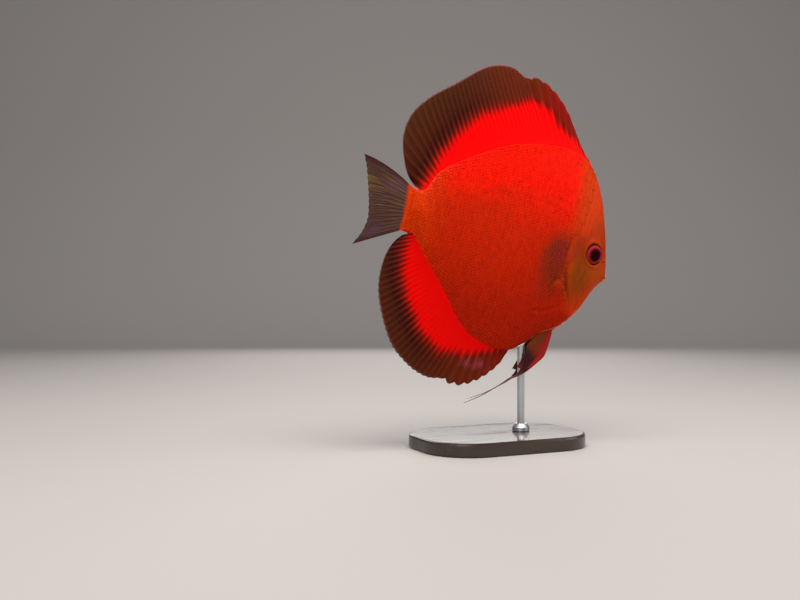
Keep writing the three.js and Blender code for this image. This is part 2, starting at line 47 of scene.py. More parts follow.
SWIM = (
    Matrix.Translation(MIDDLE_OVER_FLOOR)
    @ Matrix.Rotation(HEAD_DOWN, 4, "Y")
    @ Matrix.Scale(0.001, 4)
)


def smooth_line(points, closed=False, count=241):
    """Evenly spaced places on a smooth curve through the points."""
    points = np.array(points, float)
    if closed:
        guides = np.vstack([points[-1:], points, points[:2]])
    else:
        guides = np.vstack([2 * points[:1] - points[1:2], points, 2 * points[-1:] - points[-2:-1]])
    steps = np.sqrt(np.linalg.norm(np.diff(guides, axis=0), axis=1))
    knots = np.concatenate([[0], np.cumsum(steps)])
    dense = []
    for i in range(1, len(guides) - 2):
        t = np.linspace(knots[i], knots[i + 1], 24, endpoint=False)[:, None]
        p0, p1, p2, p3 = guides[i - 1:i + 3]
        k0, k1, k2, k3 = knots[i - 1:i + 3]
        a = (p0 * (k1 - t) + p1 * (t - k0)) / (k1 - k0)
        b = (p1 * (k2 - t) + p2 * (t - k1)) / (k2 - k1)
        c = (p2 * (k3 - t) + p3 * (t - k2)) / (k3 - k2)
        d = (a * (k2 - t) + b * (t - k0)) / (k2 - k0)
        e = (b * (k3 - t) + c * (t - k1)) / (k3 - k1)
        dense.append((d * (k2 - t) + e * (t - k1)) / (k2 - k1))
    dense.append(guides[-2:-1])
    dense = np.vstack(dense)
    run = np.concatenate([[0], np.cumsum(np.linalg.norm(np.diff(dense, axis=0), axis=1))])
    even = np.linspace(0, run[-1], count)
    return np.stack([np.interp(even, run, dense[:, k]) for k in range(dense.shape[1])], axis=1)


def along(line, share):
    """Places at these shares of an evenly spaced line's length."""
    stations = np.linspace(0, 1, len(line))
    return np.stack([np.interp(share, stations, line[:, k]) for k in range(line.shape[1])], axis=1)


def beside(line, x, z):
    """How far places are from a line, positive to its left, and how far along it they are, from 0 to 1."""
    start, run = line[:-1], np.diff(line, axis=0)
    length = (run ** 2).sum(1)
    distance = np.empty(len(x))
    share = np.empty(len(x))
    for low in range(0, len(x), 2000):
        part = slice(low, low + 2000)
        dx = x[part, None] - start[:, 0]
        dz = z[part, None] - start[:, 1]
        t = np.clip((dx * run[:, 0] + dz * run[:, 1]) / length, 0, 1)
        gap = np.hypot(dx - t * run[:, 0], dz - t * run[:, 1])
        nearest = gap.argmin(1)
        rows = np.arange(len(nearest))
        turn = run[nearest, 0] * dz[rows, nearest] - run[nearest, 1] * dx[rows, nearest]
        distance[part] = gap[rows, nearest] * np.where(turn < 0, -1, 1)
        share[part] = (nearest + t[rows, nearest]) / len(run)
    return distance, share


def ease(value, low, high):
    """0 below low, 1 above high, and a smooth rise between them."""
    t = np.clip((value - low) / (high - low), 0, 1)
    return t * t * (3 - 2 * t)


# Skin.
# One skin covers head, flanks, belly and tail base. It is a sphere of many rings whose poles lie on the two
# cheeks, drawn out to the fish's outline, so that the rings are closest together on the head.
OUTLINE = [
    (78.6, -6.0), (75.2, 7.7), (69.7, 25.5), (63.6, 43.2), (53.6, 57.0),
    (39.0, 62.6), (20.0, 61.0), (-5.0, 53.5), (-29.0, 39.6), (-48.4, 24.0),
    (-56.0, 10.4), (-63.6, 9.4), (-64.0, -3.0), (-64.1, -15.2), (-58.0, -16.2),
    (-47.0, -27.4), (-33.0, -41.4), (-16.0, -59.0), (-4.0, -66.4), (9.0, -69.3),
    (21.5, -67.8), (32.0, -60.8), (42.4, -53.6), (48.6, -50.2), (54.4, -45.4),
    (64.1, -34.3), (69.8, -23.0), (76.0, -14.8), (78.8, -10.6),
]
# Half the width at mid-height, and near the back and the belly, from snout to tail
FLANK = [
    (80, 5.0), (76, 6.4), (70, 8.8), (63, 10.8), (54, 12.4), (44, 13.2), (30, 13.3), (12, 12.6),
    (-8, 11.0), (-26, 9.0), (-42, 7.0), (-54, 5.2), (-65, 3.0),
]
BACK = [(80, 4.6), (74, 4.8), (66, 4.6), (56, 3.2), (44, 2.4), (0, 2.2), (-50, 2.0), (-65, 2.0)]
BELLY = [(80, 4.4), (74, 4.2), (64, 4.2), (50, 4.0), (34, 3.0), (16, 2.4), (0, 2.2), (-50, 2.0), (-65, 2.0)]
FULLNESS = [(80, 2.6), (60, 2.5), (40, 2.2), (10, 1.9), (-40, 1.8), (-65, 2.0)]
ROUNDING = [(-180, 0.9), (-80, 1.0), (-70, 3.0), (-55, 4.0), (40, 5.0), (52, 2.4), (60, 1.0), (180, 0.9)]
MIDDLE = (8.0, -6.0)
SCALE_DEPTH = 0.1
EYE_SPOT = (61.6, 0.9)
NOSTRIL = (71.4, -1.4)
GILL_EDGE = [(47, 11), (42.6, 3), (41.8, -9), (44.8, -21), (50.6, -31), (58, -35.4)]
CHEEK_EDGE = [(53.5, -4), (51.2, -13), (52.6, -23), (57.5, -30), (65, -31.5)]
CHEEK_FOLD = [(57.6, -8), (56.6, -16), (58.6, -23), (62.5, -27.5)]
JAW_FOLD = [(74.8, -10.6), (72.6, -12.8), (70.8, -16.4), (69.4, -20.2)]
BREAST_FOLD = [(48, -31), (42, -37), (33, -41), (24, -42)]
BROW_LINE = [(70.4, 12), (67.8, 22), (63.8, 34), (57.4, 46)]
FIN_PAD = (39.2, -25.0)
CHEEK_MIDDLE = (58, -15)
ORBIT = 7.6
SOCKET = 6.8
SOCKET_DEPTH = 3.6
NOSTRIL_RIM = 1.2
NOSTRIL_DEPTH = 1.0

outline = smooth_line(OUTLINE, closed=True, count=721)
outline_top = outline[outline[:, 1] >= MIDDLE[1]]
outline_top = outline_top[outline_top[:, 0].argsort()]
outline_bottom = outline[outline[:, 1] <= MIDDLE[1]]
outline_bottom = outline_bottom[outline_bottom[:, 0].argsort()]


def from_table(table, x):
    """The smooth curve of a table of (x, value) pairs, read at x."""
    line = smooth_line(table)
    line = line[line[:, 0].argsort()]
    return np.interp(x, line[:, 0], line[:, 1])


def half_width(x, z):
    """Half the fish's width at places in its side view, without the small forms of the head."""
    top = np.interp(x, outline_top[:, 0], outline_top[:, 1])
    bottom = np.interp(x, outline_bottom[:, 0], outline_bottom[:, 1])
    up = np.clip((2 * z - top - bottom) / np.maximum(top - bottom, 1), -1, 1)
    edge = np.where(up > 0, from_table(BACK, x), from_table(BELLY, x))
    dome = edge + (from_table(FLANK, x) - edge) * (1 - np.abs(up) ** from_table(FULLNESS, x))
    inside = np.abs(beside(outline, x, z)[0])
    angle = np.degrees(np.arctan2(z - MIDDLE[1], x - MIDDLE[0]))
    wide = np.interp(angle, *np.array(ROUNDING).T)
    past = np.clip(1 - inside / wide, 0, 1)
    return (dome - SCALE_DEPTH) * np.sqrt(1 - past ** 2), inside


def fold(line, x, z, width, depth):
    """A crease along a line, deepest at its middle and fading at its ends."""
    distance, share = beside(smooth_line(line, count=61), x, z)
    return -depth * np.exp(-(distance / width) ** 2) * ease(share, 0, 0.25) * ease(1 - share, 0, 0.25)


def relief(x, z):
    """How far the small forms of the flank and head stand out from it."""
    distance, share = beside(smooth_line(GILL_EDGE, count=121), x, z)
    ends = ease(share, 0.02, 0.3) * ease(1 - share, 0.02, 0.4)
    height = 0.8 * ends * np.where(distance < 0, 0, ease(9 - distance, 0, 8.5)) * ease(distance, -0.1, 1.4)
    height += -0.3 * ends * np.exp(-((distance + 0.4) / 0.8) ** 2)
    height += fold(CHEEK_EDGE, x, z, 1.0, 0.30) + fold(CHEEK_FOLD, x, z, 0.9, 0.18)
    height += fold(JAW_FOLD, x, z, 0.8, 0.35) + fold(BREAST_FOLD, x, z, 1.6, 0.3)
    to_cheek = np.hypot(x - CHEEK_MIDDLE[0], z - CHEEK_MIDDLE[1])
    height += 0.9 * np.exp(-(to_cheek / 11) ** 2)
    to_eye = np.hypot(x - EYE_SPOT[0], z - EYE_SPOT[1])
    height += 0.6 * np.exp(-((to_eye - ORBIT) / 1.4) ** 2)
    height -= SOCKET_DEPTH * ease(SOCKET - to_eye, 0, 0.9)
    to_nostril = np.hypot(x - NOSTRIL[0], (z - NOSTRIL[1]) * 1.2)
    height += 0.3 * np.exp(-((to_nostril - NOSTRIL_RIM) / 0.5) ** 2)
    height -= NOSTRIL_DEPTH * ease(1.1 - to_nostril, 0, 0.6)
    pad = np.hypot((x - FIN_PAD[0]) / 3.4, (z - FIN_PAD[1]) / 4.6)
    height += 1.1 * ease(1.2 - pad, 0, 0.7)
    brow = beside(smooth_line(BROW_LINE, count=61), x, z)[0]
    height += 0.3 * np.exp(-(brow / 2.6) ** 2)
    return height


def flank_height(x, z):
    """Half the fish's width at places in its side view, small forms and all."""
    half, inside = half_width(x, z)
    return half + relief(x, z) * ease(inside, 0, 3.5)


# Lips: two rolls that wrap round the jaws from corner to corner, grown out of the skin
LIP_CORNER_X = 74.8
LIP_HALF = 4.5
UPPER_LIP = {"tip": (78.9, -8.9), "corner": -9.9, "thick": 1.4}
LOWER_LIP = {"tip": (77.9, -11.5), "corner": -11.7, "thick": 1.35}
JAW = np.array((68.6, 0.0, -9.3))
MOUTH = np.array((77.6, 0.0, -9.3))
MOUTH_REACH = 9
LIP_BLEND = 0.7


def lip_line(lip):
    """The middle line of a lip from corner to corner, and how thick it is there."""
    turn = np.linspace(-90, 90, 41) * math.pi / 180
    x = LIP_CORNER_X + (lip["tip"][0] - LIP_CORNER_X) * np.cos(turn) ** 0.8
    z = lip["corner"] + (lip["tip"][1] - lip["corner"]) * np.cos(turn)
    thick = lip["thick"] * (0.45 + 0.55 * np.cos(turn) ** 0.5)
    return np.stack([x, LIP_HALF * np.sin(turn), z], axis=1), thick


def grow_lips(places):
    """Moves the places near the mouth out to the surface of the two lips, blended into the skin."""
    round_mouth = np.linalg.norm(places - MOUTH, axis=1) < MOUTH_REACH
    start = places[round_mouth]
    out = start - JAW
    out /= np.linalg.norm(out, axis=1)[:, None]
    reach = np.linspace(-0.6, 4.4, 51)
    probes = start[:, None] + out[:, None] * reach[None, :, None]
    depth = np.broadcast_to(reach, probes.shape[:2]).copy()
    for lip in (UPPER_LIP, LOWER_LIP):
        centres, thick = lip_line(lip)
        gap = np.linalg.norm(probes[:, :, None] - centres[None, None], axis=3) - thick
        gap = gap.min(2)
        softness = np.clip(0.5 + 0.5 * (depth - gap) / LIP_BLEND, 0, 1)
        depth = depth + (gap - depth) * softness - LIP_BLEND * softness * (1 - softness)
    last = depth.shape[1] - 1 - (depth[:, ::-1] < 0).argmax(1)
    places[round_mouth] = start + out * reach[last][:, None]
    return places


POLE = np.array((52.0, -8.0))
RIM_PLACES = 440
RINGS = 132
skin = bmesh.new()
bmesh.ops.create_uvsphere(skin, u_segments=RIM_PLACES, v_segments=RINGS, radius=1)
ball = np.array([vert.co for vert in skin.verts])
turn = (np.degrees(np.arctan2(ball[:, 1], ball[:, 0])) % 360) / 360
tilt = np.arccos(np.clip(ball[:, 2], -1, 1))
from_pole = np.minimum(tilt, math.pi - tilt) / (math.pi / 2)
closeness = 1 + 1.6 * ease(outline[:, 0], 25, 62)
closeness += 5 * np.exp(-(np.hypot(outline[:, 0] - 79, outline[:, 1] + 8) / 6) ** 2)
filled = np.concatenate([[0], np.cumsum(closeness[:-1])])
spread = np.interp(turn, filled / filled[-1], np.linspace(0, 1, len(outline)))
share = 0.6 * np.sin(from_pole * math.pi / 2) + 0.4 * from_pole
rim = along(outline, spread)
side_view = POLE + (rim - POLE) * share[:, None]
height = flank_height(side_view[:, 0], side_view[:, 1])
height[from_pole > 0.9999] = 0
places = np.stack([side_view[:, 0], height * np.where(ball[:, 2] > 0, 1, -1), side_view[:, 1]], axis=1)
bare = places.copy()
places = grow_lips(places)
lip_share = ease(np.linalg.norm(places - bare, axis=1), 0.15, 0.7)
gap, level = beside(smooth_line(GILL_EDGE, count=121), side_view[:, 0], side_view[:, 1])
# Painted shade in the slit under the gill cover's edge.
slit_shade = np.exp(-((gap + 0.2) / 0.9) ** 2) * ease(level, 0.3, 0.55) * ease(1 - level, 0.12, 0.4)
inside = np.abs(beside(outline, side_view[:, 0], side_view[:, 1])[0])
# A pale rose band along the head's front and lower edges: partly the rose edge of the forehead, partly a
# painted rim highlight where the edge catches light from below.
rose_rim_and_highlight = ease(3.0 - inside, 0, 1.6) * ease(side_view[:, 0], 28, 44) * ease(44 - side_view[:, 1], 0, 8)
slit_shade_layer = skin.verts.layers.float.new("slit_shade")
rim_highlight_layer = skin.verts.layers.float.new("rose_rim_and_highlight")
lip_layer = skin.verts.layers.float.new("lip")
for i, vert in enumerate(skin.verts):
    vert.co = places[i]
    vert[slit_shade_layer] = slit_shade[i]
    vert[rim_highlight_layer] = rose_rim_and_highlight[i]
    vert[lip_layer] = lip_share[i]
for face in skin.faces:
    face.smooth = True


def add(tree, kind, inputs, **settings):
    """One node of a material, with its settings and what feeds it."""
    node = tree.nodes.new(kind)
    for name, value in settings.items():
        setattr(node, name, value)
    for name, value in inputs.items():
        if isinstance(value, bpy.types.NodeSocket):
            tree.links.new(value, node.inputs[name])
        else:
            node.inputs[name].default_value = value
    return node


def start_look(name, finish):
    """A material whose even qualities are set on its shader."""
    look = bpy.data.materials.new(name)
    look.use_nodes = True
    shader = look.node_tree.nodes["Principled BSDF"]
    for socket, value in finish.items():
        shader.inputs[socket].default_value = value
    return look, look.node_tree, shader


def fish_place(tree):
    """Places on the fish in its own millimetres, from the object's coordinates."""
    back = Matrix.Rotation(-HEAD_DOWN, 3, "Y")
    offset = back @ Vector(MIDDLE_OVER_FLOOR) * -1000
    where = add(tree, "ShaderNodeTexCoord", {})
    return add(tree, "ShaderNodeMapping", {
        "Vector": where.outputs["Object"], "Location": offset, "Rotation": (0, -HEAD_DOWN, 0),
        "Scale": (1000, 1000, 1000),
    }).outputs["Vector"]


def maths(tree, operation, first, second, clamp=False):
    """The result of one operation on two numbers."""
    return add(tree, "ShaderNodeMath", {0: first, 1: second}, operation=operation, use_clamp=clamp).outputs[0]


def plus(tree, first, second, clamp=False):
    """The sum of two numbers, kept between 0 and 1 if it is clamped."""
    return maths(tree, "ADD", first, second, clamp)


def minus(tree, first, second):
    """The first number less the second."""
    return maths(tree, "SUBTRACT", first, second)


def times(tree, first, second):
    """One number times another."""
    return maths(tree, "MULTIPLY", first, second)


def stored(tree, layer):
    """What a mesh layer holds at each place."""
    return add(tree, "ShaderNodeAttribute", {}, attribute_name=layer).outputs["Fac"]


def rise(tree, value, low, high):
    """0 to 1 as the value goes from low to high."""
    return add(tree, "ShaderNodeMapRange", {
        "Value": value, "From Min": low, "From Max": high,
    }, interpolation_type="SMOOTHSTEP").outputs["Result"]


def mix(tree, amount, first, second, blend="MIX"):
    """The first colour, with this amount of the second over it."""
    node = add(tree, "ShaderNodeMix", {0: amount, 6: first, 7: second}, data_type="RGBA", blend_type=blend)
    return node.outputs[2]


def near(tree, place, spot, reach):
    """1 at a spot, falling to 0 at its reach, given in millimetres along x and z."""
    shifted = add(tree, "ShaderNodeVectorMath", {0: place, 1: (spot[0], 0, spot[1])}, operation="SUBTRACT")
    shrunk = add(tree, "ShaderNodeVectorMath", {
        0: shifted.outputs[0], 1: (1 / reach[0], 0, 1 / reach[1]),
    }, operation="MULTIPLY")
    length = add(tree, "ShaderNodeVectorMath", {0: shrunk.outputs[0]}, operation="LENGTH").outputs["Value"]
    return rise(tree, length, 1.0, 0.25)


def grains(tree, place, scale, detail=3.0):
    """Soft clouds of 0 to 1, smaller as the scale grows."""
    return add(tree, "ShaderNodeTexNoise", {"Vector": place, "Scale": scale, "Detail": detail}).outputs["Fac"]


VIVID_RED = (0.88, 0.006, 0.0, 1)
# Deeper reds of the lower flank and belly, darkened in part as painted shade
SHADED_DEEP_RED = (0.57, 0.015, 0.0, 1)
SHADED_BELLY_RED = (0.46, 0.012, 0.0, 1)
TAIL_ORANGE = (0.64, 0.033, 0.0, 1)
HEAD_ORANGE = (0.60, 0.036, 0.0, 1)
SNOUT_ORANGE = (0.44, 0.052, 0.001, 1)
CHEEK_BROWN = (0.27, 0.046, 0.002, 1)
GILL_BROWN = (0.25, 0.022, 0.001, 1)
MAUVE = (0.30, 0.016, 0.012, 1)
# Rose of the head's edges, lightened as a painted rim highlight
ROSE_RIM_HIGHLIGHT = (0.85, 0.29, 0.17, 1)
LIP_PINK = (0.66, 0.27, 0.18, 1)
PEPPER = (0.45, 0.001, 0.0, 1)
SLIT_SHADE = (0.06, 0.006, 0.002, 1)
FOREHEAD_ORANGE = (0.42, 0.036, 0.0, 1)
BROW_PINK = (0.52, 0.06, 0.035, 1)
MOUTH_SHADE = (0.16, 0.02, 0.01, 1)
LINE_MAROON = (0.20, 0.004, 0.002, 1)
FINE_SHADE = (0.84, 0.8, 0.8, 1)
# Soft patches of colour: the middle of each, and how far it reaches along x and z
SHOULDER_PATCH = (36.0, -10.0), (17.0, 26.0)
FOREHEAD_PATCH = (66.0, 12.0), (16.0, 20.0)
SNOUT_PATCH = (70.0, -8.0), (14.0, 22.0)
CHEEK_PATCH = (53.0, -13.0), (15.0, 26.0)
GILL_TOP_PATCH = (50.0, 3.0), (14.0, 12.0)
FIN_HAZE = (37.0, -4.0), (10.0, 15.0)
BROW_PATCH = (74.0, 6.0), (14.0, 18.0)
EYE_FRONT_PATCH = (68.4, 4.0), (3.4, 8.0)
# The mouth line is painted shade in the gap between the lips
MOUTH_SHADE_LINE = (76.8, -10.3), (4.0, 0.6)

flesh, tree, shader = start_look("flesh", {
    "Roughness": 0.36, "Specular IOR Level": 0.04, "Subsurface Weight": 0.1, "Subsurface Scale": 0.002,
    "Subsurface Radius": (1.0, 0.2, 0.1),
})
place = fish_place(tree)
axes = add(tree, "ShaderNodeSeparateXYZ", {"Vector": place})
x, z = axes.outputs["X"], axes.outputs["Z"]
cloud = grains(tree, place, 0.05)
drift = times(tree, minus(tree, cloud, 0.5), 30.0)
height = plus(tree, z, drift)
# Darker from the back down to the belly: partly the fish's own deeper red below, partly painted shade as
# under light from above.
colour = mix(tree, rise(tree, height, -52.0, -14.0), SHADED_BELLY_RED, SHADED_DEEP_RED)
colour = mix(tree, rise(tree, height, 2.0, 34.0), colour, VIVID_RED)
colour = mix(tree, rise(tree, x, -34.0, -62.0), colour, TAIL_ORANGE)
shoulder = times(tree, near(tree, place, *SHOULDER_PATCH), 0.95)
colour = mix(tree, shoulder, colour, GILL_BROWN)
above = maths(tree, "MAXIMUM", minus(tree, z, 10.0), 0.0)
below = maths(tree, "MAXIMUM", minus(tree, -14.0, z), 0.0)
head_bounds = plus(tree, times(tree, above, 0.12), times(tree, below, 0.55))
head_line = minus(tree, x, head_bounds)
colour = mix(tree, rise(tree, head_line, 35.0, 47.0), colour, HEAD_ORANGE)
colour = mix(tree, near(tree, place, *FOREHEAD_PATCH), colour, FOREHEAD_ORANGE)
colour = mix(tree, near(tree, place, *SNOUT_PATCH), colour, SNOUT_ORANGE)
colour = mix(tree, near(tree, place, *CHEEK_PATCH), colour, CHEEK_BROWN)
colour = mix(tree, times(tree, near(tree, place, *GILL_TOP_PATCH), 0.7), colour, GILL_BROWN)
haze_tone = grains(tree, place, 0.12)
haze = times(tree, near(tree, place, *FIN_HAZE), rise(tree, haze_tone, 0.3, 0.6))
colour = mix(tree, times(tree, haze, 0.8), colour, MAUVE)
brow_line = plus(tree, x, times(tree, maths(tree, "MAXIMUM", z, 0.0), 0.34))
brow = times(tree, rise(tree, brow_line, 75.0, 80.0), near(tree, place, *BROW_PATCH))
colour = mix(tree, times(tree, brow, 0.6), colour, BROW_PINK)
colour = mix(tree, times(tree, near(tree, place, *EYE_FRONT_PATCH), 0.6), colour, MAUVE)
# Painted rim highlight along the head's edges, over their rose tone.
colour = mix(tree, times(tree, stored(tree, "rose_rim_and_highlight"), 0.85), colour, ROSE_RIM_HIGHLIGHT)
colour = mix(tree, stored(tree, "lip"), colour, LIP_PINK)
# Painted shade in the gap between the lips.
colour = mix(tree, near(tree, place, *MOUTH_SHADE_LINE), colour, MOUTH_SHADE)
# Painted shade in the gill slit.
colour = mix(tree, times(tree, stored(tree, "slit_shade"), 0.75), colour, SLIT_SHADE)
speck = add(tree, "ShaderNodeTexVoronoi", {"Vector": place, "Scale": 0.62, "Randomness": 1.0})
strewn = grains(tree, place, 0.11)
on_back = rise(tree, height, -6.0, 16.0)
speckled = rise(tree, speck.outputs["Distance"], 0.5, 0.12)
pepper = times(tree, speckled, rise(tree, strewn, 0.42, 0.6))
pepper = times(tree, pepper, plus(tree, times(tree, on_back, 0.4), 0.1))
colour = mix(tree, pepper, colour, PEPPER)
upright = add(tree, "ShaderNodeVectorMath", {0: place, 1: (1.0, 1.0, 0.22)}, operation="MULTIPLY").outputs[0]
fine = grains(tree, upright, 0.7)
darker = mix(tree, 1.0, colour, FINE_SHADE, "MULTIPLY")
colour = mix(tree, rise(tree, fine, 0.3, 0.62), darker, colour)
colour = mix(tree, stored(tree, "tint"), colour, LINE_MAROON)
tree.links.new(colour, shader.inputs["Base Color"])
pores = grains(tree, place, 1.6, 2.0)
bump = add(tree, "ShaderNodeBump", {"Height": pores, "Strength": 0.15, "Distance": 0.0003})
tree.links.new(bump.outputs["Normal"], shader.inputs["Normal"])


def to_object(made, name, look, slot, *nodes):
    """Turns a shape in the fish's own space into a finished piece of the model."""
    made.transform(SWIM)
    mesh = bpy.data.meshes.new(name)
    made.to_mesh(mesh)
    made.free()
    mesh.materials.append(look)
    piece = bpy.data.objects.new(name, mesh)
    bpy.context.scene.collection.objects.link(piece)
    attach(piece, "root")
    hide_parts(*nodes)
    return piece


to_object(
    skin, "skin", flesh, "body",
    "head", "torso", "tail_base", "gill_cover_right", "gill_cover_left", "lip_upper", "lip_lower",
)

# Scales.
# Thin rounded plates lie over the flanks like roof tiles, each one with its front end in the skin and its
# rear edge free. They are joined into one mesh for each side.
SCALE_PITCH = (1.9, 1.9)
SCALE_SIZE = (1.65, 1.3, 0.035)
SCALE_LIFT = 0.03
LATERAL_LINE = [
    (40, 16), (35.2, 20.9), (29, 22.6), (18.2, 23.6), (7.6, 23.9), (-2.4, 22.8), (-13.6, 20.1), (-20, 18.6),
]
NAPE_EDGE = [(47, 11), (50.5, 26), (54.5, 42), (60, 58)]
BARE_RIM = 1.3
BARE_GILL = 1.2
BARE_PAD = 5
LINE_HALF = 1.4
LINE_TINT = 0.16
PATCH_SIZE = 0.0015
rng = np.random.default_rng(7)

plate = bmesh.new()
bmesh.ops.create_uvsphere(plate, u_segments=10, v_segments=4, radius=1)
bmesh.ops.triangulate(plate, faces=plate.faces[:])
plate_verts = np.array([vert.co for vert in plate.verts])
plate_faces = np.array([[vert.index for vert in face.verts] for face in plate.faces])
plate_under = np.array([face.calc_center_median().z < 0 for face in plate.faces])
plate.free()


def lay_scales(name, roots, outward, rearward, sizes, tints, spots, look):
    """Joins one plate at each root into a single mesh, with a small patch of colour map for each."""
    across = np.cross(outward, rearward)
    local = plate_verts * np.array(SCALE_SIZE)
    tipped = local[:, 2] + SCALE_LIFT * (local[:, 0] / SCALE_SIZE[0]) + 0.02
    shape = (
        roots[:, None]
        + rearward[:, None] * (local[None, :, 0:1] * sizes[:, None, None])
        + across[:, None] * (local[None, :, 1:2] * sizes[:, None, None])
        + outward[:, None] * (tipped[None, :, None] * sizes[:, None, None])
    )
    faces = plate_faces[None] + (np.arange(len(roots)) * len(plate_verts))[:, None, None]
    mesh = bpy.data.meshes.new(name)
    mesh.from_pydata(shape.reshape(-1, 3), [], faces.reshape(-1, 3))
    mesh.transform(SWIM)
    mesh.polygons.foreach_set("use_smooth", np.tile(~plate_under, len(roots)))
    tint = mesh.attributes.new("tint", "FLOAT", "POINT")
    rim = np.linalg.norm(plate_verts[:, :2], axis=1) * (plate_verts[:, 0] > -0.2)
    per_vert = tints[:, None] + 0.02 * rim[None]
    tint.data.foreach_set("value", per_vert.ravel().astype(np.float32))
    patch = mesh.uv_layers.new(name="OFBake")
    per_vert = spots[:, None] + plate_verts[None, :, :2] * PATCH_SIZE
    patch.data.foreach_set("uv", per_vert.reshape(-1, 2)[faces.ravel()].ravel().astype(np.float32))
    mesh.materials.append(look)
    coat = bpy.data.objects.new(name, mesh)
    bpy.context.scene.collection.objects.link(coat)
    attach(coat, "root")


def flank_frame(x, z, side):
    """Places on one flank and the direction straight out of it."""
    step = 0.6
    slope_x = (flank_height(x + step, z) - flank_height(x - step, z)) / (2 * step)
    slope_z = (flank_height(x, z + step) - flank_height(x, z - step)) / (2 * step)
    roots = np.stack([x, side * flank_height(x, z), z], axis=1)
    outward = np.stack([-slope_x, np.full(len(x), float(side)), -slope_z], axis=1)
    return roots, outward / np.linalg.norm(outward, axis=1)[:, None]


columns = np.arange(-64, 76, SCALE_PITCH[0])
rows = np.arange(-69, 64, SCALE_PITCH[1])
grid_x, grid_z = np.meshgrid(columns, rows, indexing="ij")
grid_z = grid_z + (np.arange(len(columns)) % 2)[:, None] * SCALE_PITCH[1] / 2
x, z = grid_x.ravel(), grid_z.ravel()
x = x + rng.normal(0, 0.07, len(x))
z = z + rng.normal(0, 0.07, len(z))
inside, level = beside(outline, x, z)
gill_gap = beside(smooth_line(GILL_EDGE, count=121), x, z)[0]
nape_gap = beside(smooth_line(NAPE_EDGE), x, z)[0]
behind_head = np.where(z > 9, nape_gap > 0, (gill_gap < -BARE_GILL) | (z < -38)) & (x < 62 + z * 0.1)
throat = (z < -30) & (z > -38) & (x > 46 - 0.3 * (z + 30))
off_pad = np.hypot(x - FIN_PAD[0], z - FIN_PAD[1]) > BARE_PAD
covered = (inside > BARE_RIM) & behind_head & ~throat & off_pad
x, z, inside, level = x[covered], z[covered], inside[covered], level[covered]
lateral = np.abs(beside(smooth_line(LATERAL_LINE), x, z)[0])
tints = np.clip(rng.normal(0.03, 0.05, len(x)), 0, 0.2) + LINE_TINT * ease(LINE_HALF - lateral, 0, 1.0)
edge_run = along(outline, np.clip(level + 0.004, 0, 1)) - along(outline, np.clip(level - 0.004, 0, 1))
edge_run /= np.linalg.norm(edge_run, axis=1)[:, None]
edge_run *= np.where(edge_run[:, 0] > 0, -1, 1)[:, None]
pull = 0.75 * np.exp(-inside / 14)[:, None]
lie = edge_run * pull + np.array((-1.0, 0.0)) * (1 - pull)
sizes = 0.72 + 0.28 * ease(inside, 1, 14)
sizes = sizes * rng.normal(1, 0.03, len(x))
for side, name in ((-1, "right"), (1, "left")):
    roots, outward = flank_frame(x, z, side)
    rearward = np.stack([lie[:, 0], np.zeros(len(x)), lie[:, 1]], axis=1)
    rearward -= outward * (rearward * outward).sum(1)[:, None]
    rearward /= np.linalg.norm(rearward, axis=1)[:, None]
    spots = np.stack([(x + 70) / 160 * 0.48 + (0.01 if side < 0 else 0.51), (z + 75) / 150], axis=1)
    lay_scales(f"scales_{name}", roots, outward, rearward, sizes, tints, spots, flesh)

# Eyes.
# Each eye is a glossy ball, sunk in its socket and turned a little forwards and down: a black pupil in a
# crimson iris, with a rose ring and then a dark rim round it.
EYE_LEAD = math.radians(6)
EYE_DIP = math.radians(10)
IRIS = 6.5
EYE_RIM = -0.9
EYE_RISE = 3.0
EYE_BACK = [(6.5, -1.5), (5.8, -2.8), (4.2, -3.9), (2.2, -4.5), (0, -4.7)]
IRIS_COLOURS = [
    (0.0, (0.0, 0.0, 0.001, 1)), (0.555, (0.002, 0.0, 0.001, 1)), (0.58, (0.06, 0.0, 0.002, 1)),
    (0.61, (0.26, 0.002, 0.010, 1)), (0.72, (0.34, 0.010, 0.022, 1)), (0.80, (0.36, 0.035, 0.045, 1)),
    (0.85, (0.30, 0.03, 0.035, 1)), (0.90, (0.10, 0.008, 0.008, 1)), (0.95, (0.03, 0.004, 0.003, 1)),
]
STREAK_CRIMSON = (0.10, 0.002, 0.004, 1)
eye_look, tree, shader = start_look("iris and pupil", {
    "Roughness": 0.12, "Specular IOR Level": 0.02,
})
reach = stored(tree, "reach")
streaks = stored(tree, "streak")
ring = add(tree, "ShaderNodeValToRGB", {"Fac": maths(tree, "DIVIDE", reach, IRIS)})
ring.color_ramp.elements.remove(ring.color_ramp.elements[1])
for stop, shade in IRIS_COLOURS:
    ring.color_ramp.elements.new(stop).color = shade
colour = mix(tree, times(tree, streaks, 0.3), ring.outputs["Color"], STREAK_CRIMSON)
tree.links.new(colour, shader.inputs["Base Color"])


def turned(profile, steps):
    """A closed form turned about z from a line of (radius, height) places."""
    made = bmesh.new()
    line = [made.verts.new((radius, 0, height)) for radius, height in profile]
    edges = [made.edges.new(pair) for pair in zip(line, line[1:])]
    bmesh.ops.spin(
        made, geom=line + edges, cent=(0, 0, 0), axis=(0, 0, 1), angle=2 * math.pi, steps=steps,
        use_merge=True,
    )
    bmesh.ops.remove_doubles(made, verts=made.verts[:], dist=1e-5)
    bmesh.ops.recalc_face_normals(made, faces=made.faces[:])
    for face in made.faces:
        face.smooth = True
    return made


